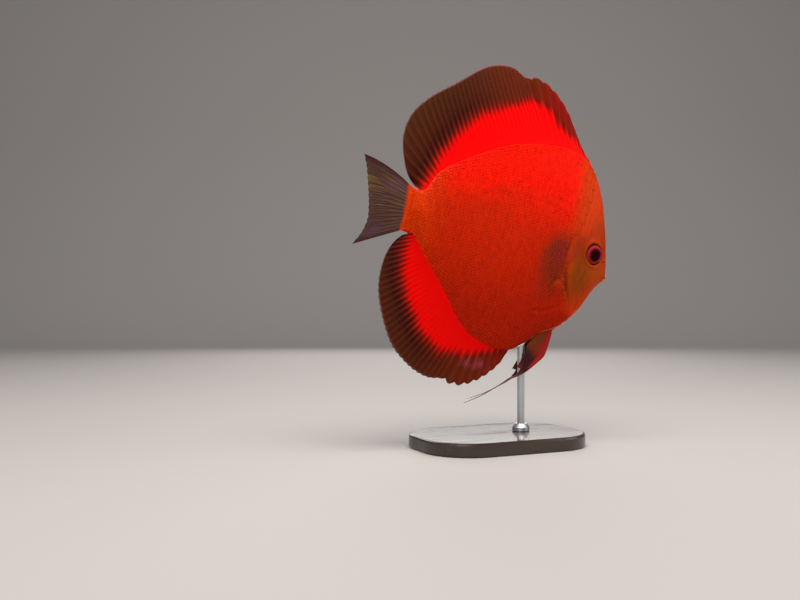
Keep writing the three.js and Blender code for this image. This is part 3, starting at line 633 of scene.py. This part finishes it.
for side, name in ((-1, "right"), (1, "left")):
    half = half_width(np.array([EYE_SPOT[0]]), np.array([EYE_SPOT[1]]))[0][0]
    ahead = math.sin(EYE_LEAD) * math.cos(EYE_DIP)
    sideways = side * math.cos(EYE_LEAD) * math.cos(EYE_DIP)
    aim = Vector((ahead, sideways, -math.sin(EYE_DIP))).to_track_quat("Z", "Y").to_matrix().to_4x4()
    stance = Matrix.Translation((EYE_SPOT[0], side * (half - 0.2), EYE_SPOT[1])) @ aim
    front = np.linspace(0, math.pi / 2, 26)
    profile = [(IRIS * math.sin(turn), EYE_RIM + EYE_RISE * math.cos(turn)) for turn in front]
    ball = turned(profile + EYE_BACK, 96)
    reach_layer = ball.verts.layers.float.new("reach")
    streak_layer = ball.verts.layers.float.new("streak")
    for vert in ball.verts:
        reach = math.hypot(vert.co.x, vert.co.y)
        vert[reach_layer] = reach if vert.co.z > -1.2 else IRIS
        around = math.atan2(vert.co.y, vert.co.x)
        thin = math.sin(around * 23) * math.sin(around * 9 + 1)
        vert[streak_layer] = 0.5 + 0.3 * thin + 0.2 * math.sin(around * 3)
    ball.transform(stance)
    to_object(ball, f"eyeball_{name}", eye_look, "eye", f"eye_{name}")

# Back, belly and tail fins.
# Thin skin stretched over bony rays, which stand up as ridges on both faces. Stiff spines hold the front of
# the back and belly fins; the soft rays behind them fork twice on their way to the edge.
SPINY_DORSAL = {
    "rays": 9, "root": [(54, 53.4), (44, 59.0), (32, 59.4), (21.4, 58.2)],
    "edge": [
        (54.4, 58.8), (46, 66.6), (38.4, 75.4), (29.2, 85.8), (19.6, 93.6), (10.6, 98.2), (3.4, 99.2),
        (-4, 96.7),
    ],
    "soft": False, "late": 0.0, "power": 1, "notch": 0.045, "sway": 0.79, "arch": 0.0,
}
SOFT_DORSAL = {
    "rays": 31, "root": [(21.4, 58.2), (-5, 50.4), (-28, 36.8), (-46, 22), (-53.6, 9.6)],
    "edge": [
        (-4.0, 96.6), (-12.8, 100), (-23, 98.2), (-32, 93.4), (-48.4, 78), (-63, 64.4), (-71.4, 52),
        (-73.8, 38.4), (-70, 24.6), (-65, 15.8), (-60, 11.6),
    ],
    "soft": True, "late": 0.28, "power": 8, "notch": 0.012, "sway": 1.1, "arch": 0.0,
}
SPINY_ANAL = {
    "rays": 8, "root": [(21, -64.6), (9, -66.2), (-3, -63.2), (-7.8, -60.2)],
    "edge": [
        (20.6, -70.4), (18.0, -76.4), (12.0, -83.4), (3.4, -90.2), (-6, -94.8), (-13.6, -95.2),
        (-19.6, -93.2),
    ],
    "soft": False, "late": 0.0, "power": 1, "notch": 0.06, "sway": 0.72, "arch": 0.0,
}
SOFT_ANAL = {
    "rays": 29, "root": [(-7.8, -60.2), (-20, -51), (-36, -34.2), (-49.4, -20.4), (-55.4, -14.6)],
    "edge": [
        (-19.6, -93.2), (-27, -94.2), (-36.4, -92), (-45.4, -87.4), (-54, -81), (-60.6, -72.2),
        (-66, -62.2), (-69.8, -51.6), (-70.6, -41), (-69, -30.4), (-65.4, -22.4), (-61.4, -17.8),
    ],
    "soft": True, "late": 0.0, "power": 1, "notch": 0.012, "sway": 1.0, "arch": 0.0,
}
TAIL_FIN = {
    "rays": 16, "root": [(-60, 8.2), (-60.4, -3), (-60.6, -14)],
    "edge": [
        (-94.4, 20.6), (-91.4, 14.2), (-89.4, 7.4), (-87.4, -0.4), (-85.8, -7.6), (-84.8, -14.6),
        (-86.2, -22.4), (-90.2, -30.6),
    ],
    "soft": True, "late": 0.0, "power": 1, "notch": 0.015, "sway": 0.8, "arch": 2.6,
}
# Where the red of the fins gives way to their dark edge
DORSAL_DUSK = [
    (-57.0, 9.0), (-55.4, 13.5), (-51.6, 20.4), (-46.6, 33.8), (-37.8, 50.8), (-25.0, 65.2), (-10.4, 74.6),
    (3.0, 82.0), (10.4, 82.8), (19.6, 79.0), (29.6, 72.6), (39.6, 67.6), (52, 60.5),
]
ANAL_DUSK = [
    (-56.5, -18.0), (-57.4, -25), (-57.0, -32), (-53.4, -43.4), (-46.8, -55.4), (-39.8, -64.6), (-31.8, -72),
    (-20.0, -76.0), (-8, -74.6), (2, -72.2), (12.2, -68.4), (19.4, -63.8),
]
FIN_SKIN = 0.16
RAY_RIDGE = 0.2
ROOT_HALF = 2.2
ROOT_RUN = 2.2
ROOT_TAPER = 8.5


def slab(columns, rows):
    """A flat closed slab of small squares, with the place of each corner across and along it."""
    made = bmesh.new()
    bmesh.ops.create_grid(made, x_segments=columns, y_segments=rows, size=1)
    lifted = bmesh.ops.extrude_face_region(made, geom=made.faces[:])
    top = [item for item in lifted["geom"] if isinstance(item, bmesh.types.BMVert)]
    bmesh.ops.translate(made, verts=top, vec=(0, 0, 1))
    co = np.array([vert.co for vert in made.verts])
    return made, (co[:, 0] + 1) / 2, (co[:, 1] + 1) / 2, np.where(co[:, 2] > 0.5, 1.0, -1.0)


def ray_ridges(lanes, out, soft):
    """1 on a ray's crest and 0 on the skin between rays. Soft rays fork on their way out."""
    off = lanes - np.round(lanes)
    if not soft:
        return np.exp(-(off / (0.16 - 0.08 * out)) ** 2)
    fork = 0.235 * ease(out, 0.30, 0.75)
    twig = 0.115 * ease(out, 0.62, 1.0)
    thin = 0.17 - 0.085 * ease(out, 0.2, 0.7) - 0.035 * ease(out, 0.6, 1.0)
    crest = np.zeros(len(off))
    for a in (-fork, fork):
        for b in (-twig, twig):
            crest = np.maximum(crest, np.exp(-((off - a - b) / thin) ** 2))
    return crest


def shape_piece(made, places, layers, u, v):
    """Moves a slab's corners to their places, and stores what its colours follow."""
    stored = {name: made.verts.layers.float.new(name) for name in layers}
    lane_map = made.loops.layers.uv.new("rays")
    for i, vert in enumerate(made.verts):
        vert.co = places[i]
        for name, layer in stored.items():
            vert[layer] = layers[name][i]
    for face in made.faces:
        face.smooth = True
        for loop in face.loops:
            loop[lane_map].uv = (u[loop.vert.index], v[loop.vert.index])
    bmesh.ops.recalc_face_normals(made, faces=made.faces[:])


def median_place(fin, u, v):
    """Where a median fin's middle sheet lies, with how long its ray is there."""
    root = along(smooth_line(fin["root"]), u)
    tip = along(smooth_line(fin["edge"]), (1 - fin["late"]) * u + fin["late"] * u ** fin["power"])
    place = root + (tip - root) * v[:, None]
    place[:, 1] += fin["arch"] * (1 - u) * 4 * v * (1 - v)
    sway = fin["sway"] * v * v * np.sin(u * 7 + 0.8)
    return place[:, 0], sway, place[:, 1], np.linalg.norm(tip - root, axis=1)


def median_fin(name, fin, columns, rows, dusk, look, slot, node):
    """A fin on the fish's middle line, with so many columns of squares for each ray."""
    made, u, v, face = slab(fin["rays"] * columns, rows)
    lanes = u * fin["rays"]
    off = np.abs(lanes - np.round(lanes)) * 2
    reach = v * (1 - fin["notch"] * off ** 1.5)
    crest = ray_ridges(lanes, v, fin["soft"])
    fx, fy, fz, length = median_place(fin, u, reach)
    past_rim = np.maximum(reach * length - ROOT_RUN, 0)
    half = FIN_SKIN + RAY_RIDGE * crest * (1 - 0.7 * v) * ease(v, 0.1, 0.5)
    half += ROOT_HALF * np.exp(-past_rim / (ROOT_TAPER * np.clip(length / 30, 0.2, 1)))
    half *= 1 - 0.5 * ease(v, 0.9, 1.0)
    places = np.stack([fx, fy + face * half, fz], axis=1)
    beyond = beside(smooth_line(dusk), fx, fz)[0] if dusk else np.zeros(len(u))
    on_ray = np.exp(-(off / 0.42) ** 2)
    shape_piece(made, places, {"crest": crest, "ray": on_ray, "beyond": beyond, "out": reach}, lanes, v)
    return to_object(made, name, look, slot, node)


DUSK_BANDS = [
    (0.16, (0.76, 0.0, 0.0, 1)), (0.22, (0.46, 0.001, 0.0, 1)), (0.28, (0.20, 0.003, 0.0, 1)),
    (0.37, (0.055, 0.003, 0.001, 1)), (0.47, (0.026, 0.003, 0.001, 1)), (0.62, (0.048, 0.009, 0.002, 1)),
    (1.0, (0.058, 0.016, 0.004, 1)),
]
BACK_FIN_RED = (0.90, 0.0, 0.0, 1)
BELLY_FIN_RED = (0.74, 0.001, 0.0, 1)
TOP_BROWN = (0.130, 0.014, 0.001, 1)
FRONT_RED = (0.31, 0.002, 0.0, 1)
RAY_BROWN = (0.17, 0.035, 0.022, 1)
# Lilac of a painted sheen on the belly fin
LILAC_SHEEN = (0.34, 0.045, 0.075, 1)
HEM_MAUVE = (0.30, 0.17, 0.19, 1)
LILAC_SHEEN_PATCH = (0.0, -80.0), (22.0, 6.0)
DUSK_FROM = 8.0
DUSK_SPAN = 34.0


def fin_look(name, flip, red, lilac_sheen):
    """A red fin base that runs out along the rays into a dark brown margin with a thin pale hem."""
    look, tree, shader = start_look(name, {
        "Roughness": 0.42, "Specular IOR Level": 0.04, "Subsurface Weight": 0.1, "Subsurface Scale": 0.0015,
        "Subsurface Radius": (1.0, 0.2, 0.1),
    })
    place = fish_place(tree)
    crest = stored(tree, "crest")
    beyond = stored(tree, "beyond")
    out = stored(tree, "out")
    lanes = add(tree, "ShaderNodeUVMap", {}, uv_map="rays").outputs["UV"]
    drawn_out = add(tree, "ShaderNodeVectorMath", {0: lanes, 1: (2.1, 2.6, 1.0)}, operation="MULTIPLY")
    streak = grains(tree, drawn_out.outputs[0], 1.0)
    patch = grains(tree, place, 0.09)
    level = times(tree, beyond, flip)
    ray = stored(tree, "ray")
    level = plus(tree, level, times(tree, ray, -3.4))
    level = plus(tree, level, times(tree, minus(tree, streak, 0.5), 5.0))
    level = plus(tree, level, times(tree, minus(tree, patch, 0.5), 5.0))
    bands = add(tree, "ShaderNodeValToRGB", {
        "Fac": maths(tree, "DIVIDE", plus(tree, level, DUSK_FROM), DUSK_SPAN),
    })
    bands.color_ramp.elements.remove(bands.color_ramp.elements[1])
    for stop, shade in [(0.0, red), (0.13, red)] + DUSK_BANDS:
        bands.color_ramp.elements.new(stop).color = shade
    bands.color_ramp.elements.remove(bands.color_ramp.elements[0])
    x = add(tree, "ShaderNodeSeparateXYZ", {"Vector": place}).outputs["X"]
    past = rise(tree, level, 1.0, 5.0)
    top = times(tree, rise(tree, x, -46.0, -4.0), past)
    colour = mix(tree, times(tree, top, 0.75), bands.outputs["Color"], TOP_BROWN)
    front = times(tree, rise(tree, x, 0.0, 24.0), past)
    colour = mix(tree, times(tree, front, 0.7), colour, FRONT_RED)
    pale_ray = times(tree, ray, times(tree, rise(tree, level, -5.0, 1.0), 0.3))
    colour = mix(tree, pale_ray, colour, RAY_BROWN)
    if lilac_sheen:
        # Painted lilac sheen and glints in streaks on the front of the belly fin.
        glint = times(tree, near(tree, place, *LILAC_SHEEN_PATCH), rise(tree, streak, 0.50, 0.66))
        colour = mix(tree, times(tree, glint, 0.5), colour, LILAC_SHEEN)
    hem = times(tree, rise(tree, out, 0.965, 0.995), 0.35)
    colour = mix(tree, hem, colour, HEM_MAUVE)
    tree.links.new(colour, shader.inputs["Base Color"])
    joints = add(tree, "ShaderNodeTexWave", {
        "Vector": lanes, "Scale": 14.0, "Distortion": 1.0,
    }, bands_direction="Y")
    lines = times(tree, joints.outputs["Fac"], crest)
    bump = add(tree, "ShaderNodeBump", {"Height": lines, "Strength": 0.2, "Distance": 0.0002})
    tree.links.new(bump.outputs["Normal"], shader.inputs["Normal"])
    return look


back_look = fin_look("back fin", 1.0, BACK_FIN_RED, False)
belly_look = fin_look("belly fin", -1.0, BELLY_FIN_RED, True)
median_fin("fin_back_front", SPINY_DORSAL, 14, 40, DORSAL_DUSK, back_look, "dark_fins", "dorsal_fin_spiny")
median_fin("fin_back_rear", SOFT_DORSAL, 10, 44, DORSAL_DUSK, back_look, "dark_fins", "dorsal_fin_soft")
median_fin("fin_belly_front", SPINY_ANAL, 14, 32, ANAL_DUSK, belly_look, "dark_fins", "anal_fin_spiny")
median_fin("fin_belly_rear", SOFT_ANAL, 10, 44, ANAL_DUSK, belly_look, "dark_fins", "anal_fin_soft")

TAIL_WEB = (0.085, 0.040, 0.030, 1)
TAIL_RAY = (0.040, 0.016, 0.012, 1)
TAIL_OLIVE = (0.15, 0.085, 0.014, 1)
TAIL_PLUM_SHEEN = (0.115, 0.045, 0.075, 1)
TAIL_RIM = (0.045, 0.010, 0.006, 1)
UPPER_PLUM_SHEEN = (-72.0, 9.0), (9.0, 7.0)
LOWER_PLUM_SHEEN = (-80.0, -20.0), (12.0, 10.0)
tail_look, tree, shader = start_look("tail fin", {
    "Roughness": 0.42, "Specular IOR Level": 0.08, "Subsurface Weight": 0.1, "Subsurface Scale": 0.001,
})
place = fish_place(tree)
crest = stored(tree, "crest")
out = stored(tree, "out")
lanes = add(tree, "ShaderNodeUVMap", {}, uv_map="rays").outputs["UV"]
stripes = add(tree, "ShaderNodeVectorMath", {0: lanes, 1: (2.4, 1.5, 1.0)}, operation="MULTIPLY").outputs[0]
streak = grains(tree, stripes, 1.0, 2.0)
lane = add(tree, "ShaderNodeSeparateXYZ", {"Vector": lanes}).outputs["X"]
colour = mix(tree, crest, TAIL_WEB, TAIL_RAY)
middle = times(tree, rise(tree, lane, 1.0, 3.0), rise(tree, lane, 11.0, 8.0))
olive = times(tree, middle, rise(tree, streak, 0.53, 0.64))
olive = times(tree, olive, minus(tree, 1.0, times(tree, crest, 0.6)))
colour = mix(tree, olive, colour, TAIL_OLIVE)
# Painted plum sheen and highlights at the upper base and on the lower lobe of the tail.
plum_sheen = plus(tree, near(tree, place, *UPPER_PLUM_SHEEN), near(tree, place, *LOWER_PLUM_SHEEN), True)
plum_sheen = times(tree, plum_sheen, rise(tree, streak, 0.62, 0.42))
colour = mix(tree, times(tree, plum_sheen, 0.6), colour, TAIL_PLUM_SHEEN)
rims = plus(tree, rise(tree, lane, 1.4, 0.2), rise(tree, lane, 14.6, 15.8), True)
colour = mix(tree, times(tree, rims, 0.8), colour, TAIL_RIM)
root_line = plus(tree, out, times(tree, streak, 0.12))
colour = mix(tree, rise(tree, root_line, 0.26, 0.15), colour, TAIL_ORANGE)
tree.links.new(colour, shader.inputs["Base Color"])
clear = times(tree, rise(tree, out, 0.3, 0.7), minus(tree, 1.0, crest))
alpha = minus(tree, 1.0, times(tree, clear, 0.14))
tree.links.new(alpha, shader.inputs["Alpha"])
median_fin("fin_tail", TAIL_FIN, 12, 40, None, tail_look, "tail_fin", "tail_fin")

# Breast fins.
# A fan of a dozen fine rays swings out from a fleshy pad behind each gill cover. The skin between its rays is
# as clear as water, so only the rays and the fin's orange base have a colour.
PECTORAL_AT = (38.5, -25.2)
PECTORAL_TILT = math.radians(64)
PECTORAL_FROM, PECTORAL_TO = math.radians(92), math.radians(214)
PECTORAL_REACH = [(0, 29), (0.25, 34), (0.6, 26), (1, 16)]
PECTORAL_FLARE = math.radians(26)
PECTORAL_RAYS = 12
PECTORAL_BASE = 7
PECTORAL_CUP = 2.2
CLEAR_RAY = (0.26, 0.026, 0.014, 1)
CLEAR_WEB = (0.30, 0.06, 0.05, 1)
PAD_ORANGE = (0.62, 0.06, 0.004, 1)

clear_look, tree, shader = start_look("clear fin", {
    "Roughness": 0.7, "Specular IOR Level": 0.05,
})
crest = stored(tree, "crest")
out = stored(tree, "out")
colour = mix(tree, crest, CLEAR_WEB, CLEAR_RAY)
colour = mix(tree, rise(tree, out, 0.22, 0.08), colour, PAD_ORANGE)
tree.links.new(colour, shader.inputs["Base Color"])
alpha = maths(tree, "MAXIMUM", rise(tree, crest, 0.80, 0.88), rise(tree, out, 0.24, 0.08))
tree.links.new(alpha, shader.inputs["Alpha"])

pad_half = half_width(np.array([PECTORAL_AT[0]]), np.array([PECTORAL_AT[1]]))[0][0]
for side, name in ((-1, "right"), (1, "left")):
    made, u, v, face = slab(PECTORAL_RAYS * 10, 40)
    crest = ray_ridges(u * PECTORAL_RAYS, v, True)
    ray_turn = PECTORAL_FROM + (PECTORAL_TO - PECTORAL_FROM) * u
    out = v * (from_table(PECTORAL_REACH, u) * (1 - 0.02 * (1 - crest)) + 3) - 3
    spread = (0.5 - u) * PECTORAL_BASE
    half = 0.10 + 0.16 * crest * (1 - 0.7 * v) + 0.8 * (1 - v) ** 6
    fan = np.stack([
        math.cos(PECTORAL_TILT) * spread + np.cos(ray_turn) * out,
        -PECTORAL_CUP * v * v * np.sin(u * math.pi) + face * half,
        math.sin(PECTORAL_TILT) * spread + np.sin(ray_turn) * out,
    ], axis=1)
    hinge = Matrix.Rotation(-PECTORAL_FLARE, 3, Vector((math.cos(PECTORAL_TILT), 0, math.sin(PECTORAL_TILT))))
    fan = fan @ np.array(hinge).T * np.array((1, side, 1))
    fan += np.array((PECTORAL_AT[0], side * (pad_half - 0.4), PECTORAL_AT[1]))
    shape_piece(made, fan, {"crest": crest, "out": v}, u * PECTORAL_RAYS, v)
    to_object(made, f"fin_breast_{name}", clear_look, "clear_fins", f"pectoral_fin_{name}")

# Pelvic fins.
# A close pair of narrow dark fins, each with a crimson leading spine and a ragged web behind it, drawn out
# at its tip into one long soft filament. The left one is held a little further forward.
PELVIC_AT = (43.4, 2.5, -50.2)
PELVIC_SPLAY = math.radians(3)
PELVIC_SWING = {"right": 0.0, "left": math.radians(4)}
PELVIC_LEAD = [
    (3.6, 2.2), (3.7, -3.6), (3.2, -8), (2.7, -11.7), (1.4, -16.6), (-3.9, -22.9), (-10.4, -29.2),
    (-17.1, -33.6),
]
PELVIC_TRAIL = [(-4.2, 0.8), (-8.4, -7.4), (-11.4, -12.6), (-12.5, -17.2), (-14.2, -21.9), (-16.6, -26.9)]
PELVIC_HEM = [(-17.1, -33.6), (-15.0, -30.6), (-13.8, -28.6), (-13.9, -27.5), (-15.2, -27.1), (-16.6, -26.9)]
PELVIC_RAYS = 6
FILAMENT = [(-14.6, -31.5), (-17.3, -33.1), (-21.4, -36.4), (-25.7, -39.5), (-34.3, -45.4), (-45.2, -51.2)]
FILAMENT_RINGS = 33
FILAMENT_HALF = 0.8
FILAMENT_TAPER = 0.6
FILAMENT_LIE = math.radians(-57)
FILAMENT_LANE = (3.0, 1.0)
PELVIC_WEB = (0.035, 0.007, 0.008, 1)
PELVIC_RAY = (0.070, 0.014, 0.014, 1)
SPINE_CRIMSON = (0.30, 0.004, 0.008, 1)
ROOT_BROWN = (0.15, 0.026, 0.004, 1)
FRONT_CRIMSON = (0.27, 0.014, 0.012, 1)
TIP_CRIMSON = (0.10, 0.016, 0.012, 1)

pelvic_look, tree, shader = start_look("pelvic fin", {
    "Roughness": 0.45, "Specular IOR Level": 0.06, "Subsurface Weight": 0.1, "Subsurface Scale": 0.001,
})
crest = stored(tree, "crest")
lanes = add(tree, "ShaderNodeUVMap", {}, uv_map="rays").outputs["UV"]
lane_axes = add(tree, "ShaderNodeSeparateXYZ", {"Vector": lanes})
lane, out = lane_axes.outputs["X"], lane_axes.outputs["Y"]
colour = mix(tree, crest, PELVIC_WEB, PELVIC_RAY)
root_tone = mix(tree, rise(tree, lane, 0.6, 2.6), SPINE_CRIMSON, ROOT_BROWN)
colour = mix(tree, rise(tree, out, 0.62, 0.42), colour, root_tone)
front_edge = times(tree, rise(tree, lane, 1.3, 0.5), rise(tree, out, 0.8, 0.6))
colour = mix(tree, front_edge, colour, FRONT_CRIMSON)
colour = mix(tree, rise(tree, out, 0.80, 0.96), colour, TIP_CRIMSON)
tree.links.new(colour, shader.inputs["Base Color"])

for side, name in ((-1, "right"), (1, "left")):
    made, u, v, face = slab(PELVIC_RAYS * 12, 60)
    lanes = u * PELVIC_RAYS
    crest = ray_ridges(lanes, v, False)
    off = np.abs(lanes - np.round(lanes)) * 2
    reach = v * (1 - 0.02 * off ** 1.5 * ease(u, 0.1, 0.3))
    lead = along(smooth_line(PELVIC_LEAD), reach)
    trail = along(smooth_line(PELVIC_TRAIL), reach)
    across = (u ** 0.8)[:, None]
    straight = np.array(PELVIC_LEAD[-1]) * (1 - across) + np.array(PELVIC_TRAIL[-1]) * across
    hem_pull = (along(smooth_line(PELVIC_HEM), u) - straight) * (v ** 4)[:, None]
    sheet = lead + (trail - lead) * across + hem_pull
    half = 0.14 + 0.26 * crest * (1 - 0.6 * v) + 1.1 * (1 - v) ** 5
    fan = np.stack([sheet[:, 0], 0.6 * v * np.sin(u * 5) + face * half, sheet[:, 1]], axis=1)
    shape_piece(made, fan, {"crest": crest}, lanes, v)
    last = FILAMENT_RINGS - 1
    rings = []
    for i, (px, pz) in enumerate(smooth_line(FILAMENT, count=FILAMENT_RINGS)):
        ring = bmesh.ops.create_circle(
            made, segments=8, radius=FILAMENT_HALF - FILAMENT_TAPER * i / last, cap_ends=i in (0, last),
            matrix=Matrix.Translation((px, 0, pz)) @ Matrix.Rotation(FILAMENT_LIE, 4, "Y"),
        )["verts"]
        rings.append({edge for vert in ring for edge in vert.link_edges})
    for first, second in zip(rings, rings[1:]):
        bmesh.ops.bridge_loops(made, edges=list(first | second))
    lane_map = made.loops.layers.uv["rays"]
    bmesh.ops.recalc_face_normals(made, faces=made.faces[:])
    for face in made.faces:
        face.smooth = True
        for loop in face.loops:
            if loop[lane_map].uv.length < 1e-6 and loop.vert.co.z < -30:
                loop[lane_map].uv = FILAMENT_LANE
    made.transform(
        Matrix.Translation((PELVIC_AT[0], side * PELVIC_AT[1], PELVIC_AT[2]))
        @ Matrix.Rotation(side * PELVIC_SPLAY, 4, "X") @ Matrix.Rotation(-PELVIC_SWING[name], 4, "Y")
    )
    to_object(made, f"fin_pelvic_{name}", pelvic_look, "dark_fins", f"pelvic_fin_{name}")

# Stand.
# A low waxed-wood base with rounded corners, a turned steel ferrule let into it and one steel rod.
WOOD_DARK = (0.020, 0.013, 0.010, 1)
WOOD_LIGHT = (0.060, 0.036, 0.024, 1)
WOOD_RING = (0.028, 0.017, 0.012, 1)
STEEL_GREY = (0.55, 0.56, 0.58, 1)
wood_look, tree, shader = start_look("dark waxed wood", {
    "Specular IOR Level": 0.45, "Coat Weight": 0.15, "Coat Roughness": 0.3,
})
where = add(tree, "ShaderNodeTexCoord", {}).outputs["Object"]
long_grain = add(tree, "ShaderNodeMapping", {"Vector": where, "Scale": (14, 120, 120)}).outputs["Vector"]
grain = grains(tree, long_grain, 1.4, 6.0)
rings = add(tree, "ShaderNodeTexWave", {
    "Vector": add(tree, "ShaderNodeMapping", {"Vector": where, "Scale": (4, 60, 60)}).outputs["Vector"],
    "Scale": 1.2, "Distortion": 6.0, "Detail": 3.0,
}, bands_direction="Y").outputs["Fac"]
colour = mix(tree, grain, WOOD_DARK, WOOD_LIGHT)
colour = mix(tree, times(tree, rings, 0.4), colour, WOOD_RING)
tree.links.new(colour, shader.inputs["Base Color"])
tree.links.new(rise(tree, grain, 0.0, 1.8), shader.inputs["Roughness"])
bump = add(tree, "ShaderNodeBump", {"Height": grain, "Strength": 0.12, "Distance": 0.0004})
tree.links.new(bump.outputs["Normal"], shader.inputs["Normal"])


def refinish(node, look):
    """Gives one solid of the stand its finish."""
    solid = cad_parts[node]
    solid.data.materials.clear()
    solid.data.materials.append(look)


refinish("stand_base", wood_look)

steel_look, tree, shader = start_look("brushed steel", {
    "Base Color": STEEL_GREY, "Metallic": 1.0,
})
where = add(tree, "ShaderNodeTexCoord", {}).outputs["Object"]
brushed = add(tree, "ShaderNodeMapping", {"Vector": where, "Scale": (60, 60, 2400)}).outputs["Vector"]
hairline = grains(tree, brushed, 1.0)
tree.links.new(rise(tree, hairline, -0.6, 2.2), shader.inputs["Roughness"])
bump = add(tree, "ShaderNodeBump", {"Height": hairline, "Strength": 0.06, "Distance": 0.0001})
tree.links.new(bump.outputs["Normal"], shader.inputs["Normal"])
refinish("stand_rod", steel_look)
refinish("stand_ferrule", steel_look)

# Studio.
# A plain pale floor that curves up into a backdrop, and soft light from above, as over a tank.
VIEW_TURN = math.radians(-24)
FLOOR_GREY = (0.42, 0.39, 0.37, 1)
FLOOR_FRONT = -1.6
FLOOR_BACK = 1.1
FLOOR_BEND = 0.5
WALL_TOP = 2.4
FLOOR_HALF = 3.0
floor_look, tree, shader = start_look("pale floor", {"Base Color": FLOOR_GREY, "Roughness": 0.8})
sweep = bmesh.new()
spine = [(FLOOR_FRONT, 0.0)]
for turn in np.linspace(0, math.pi / 2, 13):
    spine.append((FLOOR_BACK + FLOOR_BEND * math.sin(turn), FLOOR_BEND - FLOOR_BEND * math.cos(turn)))
spine.append((FLOOR_BACK + FLOOR_BEND, WALL_TOP))
line = [sweep.verts.new((-FLOOR_HALF, y, z)) for y, z in spine]
edges = [sweep.edges.new(pair) for pair in zip(line, line[1:])]
drawn = bmesh.ops.extrude_edge_only(sweep, edges=edges)["geom"]
far_side = [item for item in drawn if isinstance(item, bmesh.types.BMVert)]
bmesh.ops.translate(sweep, verts=far_side, vec=(2 * FLOOR_HALF, 0, 0))
sweep.transform(Matrix.Rotation(VIEW_TURN, 4, "Z"))
for face in sweep.faces:
    face.smooth = True
mesh = bpy.data.meshes.new("studio_floor")
sweep.to_mesh(mesh)
sweep.free()
mesh.materials.append(floor_look)
studio = bpy.data.objects.new("studio_floor", mesh)
bpy.context.scene.collection.objects.link(studio)

LIGHT_AIM = Vector((0, 0, 0.12))
for name, place, size, watts, colour in (
    ("light_above", (-0.1, -0.25, 0.95), (0.9, 0.6), 13.0, (1.0, 0.98, 0.95)),
    ("light_front", (-0.75, -0.9, 0.5), (0.7, 0.7), 3.2, (1.0, 0.98, 0.96)),
    ("light_side", (0.8, -0.5, 0.45), (0.5, 0.7), 2.0, (0.97, 0.98, 1.0)),
    ("light_behind", (0.35, 0.85, 0.5), (0.7, 0.7), 3.0, (1.0, 0.98, 0.96)),
):
    lamp = bpy.data.lights.new(name, "AREA")
    lamp.shape = "RECTANGLE"
    lamp.size, lamp.size_y = size
    lamp.energy = watts
    lamp.color = colour
    light = bpy.data.objects.new(name, lamp)
    bpy.context.scene.collection.objects.link(light)
    light.location = place
    light.rotation_euler = (LIGHT_AIM - Vector(place)).to_track_quat("-Z", "Y").to_euler()
world = bpy.data.worlds.new("studio_air")
world.use_nodes = True
air = world.node_tree.nodes["Background"]
air.inputs["Color"].default_value = (0.93, 0.95, 1.0, 1)
air.inputs["Strength"].default_value = 0.30
bpy.context.scene.world = world
bpy.context.scene.view_settings.view_transform = "Standard"

lens = bpy.data.cameras.new("camera")
lens.lens = 40.5
lens.sensor_width = 36.0
lens.clip_start = 0.01
camera = bpy.data.objects.new("camera", lens)
bpy.context.scene.collection.objects.link(camera)
camera.location = (-0.27245, -0.46891, 0.0872)
camera.rotation_euler = (math.pi / 2, 0, VIEW_TURN)
bpy.context.scene.camera = camera
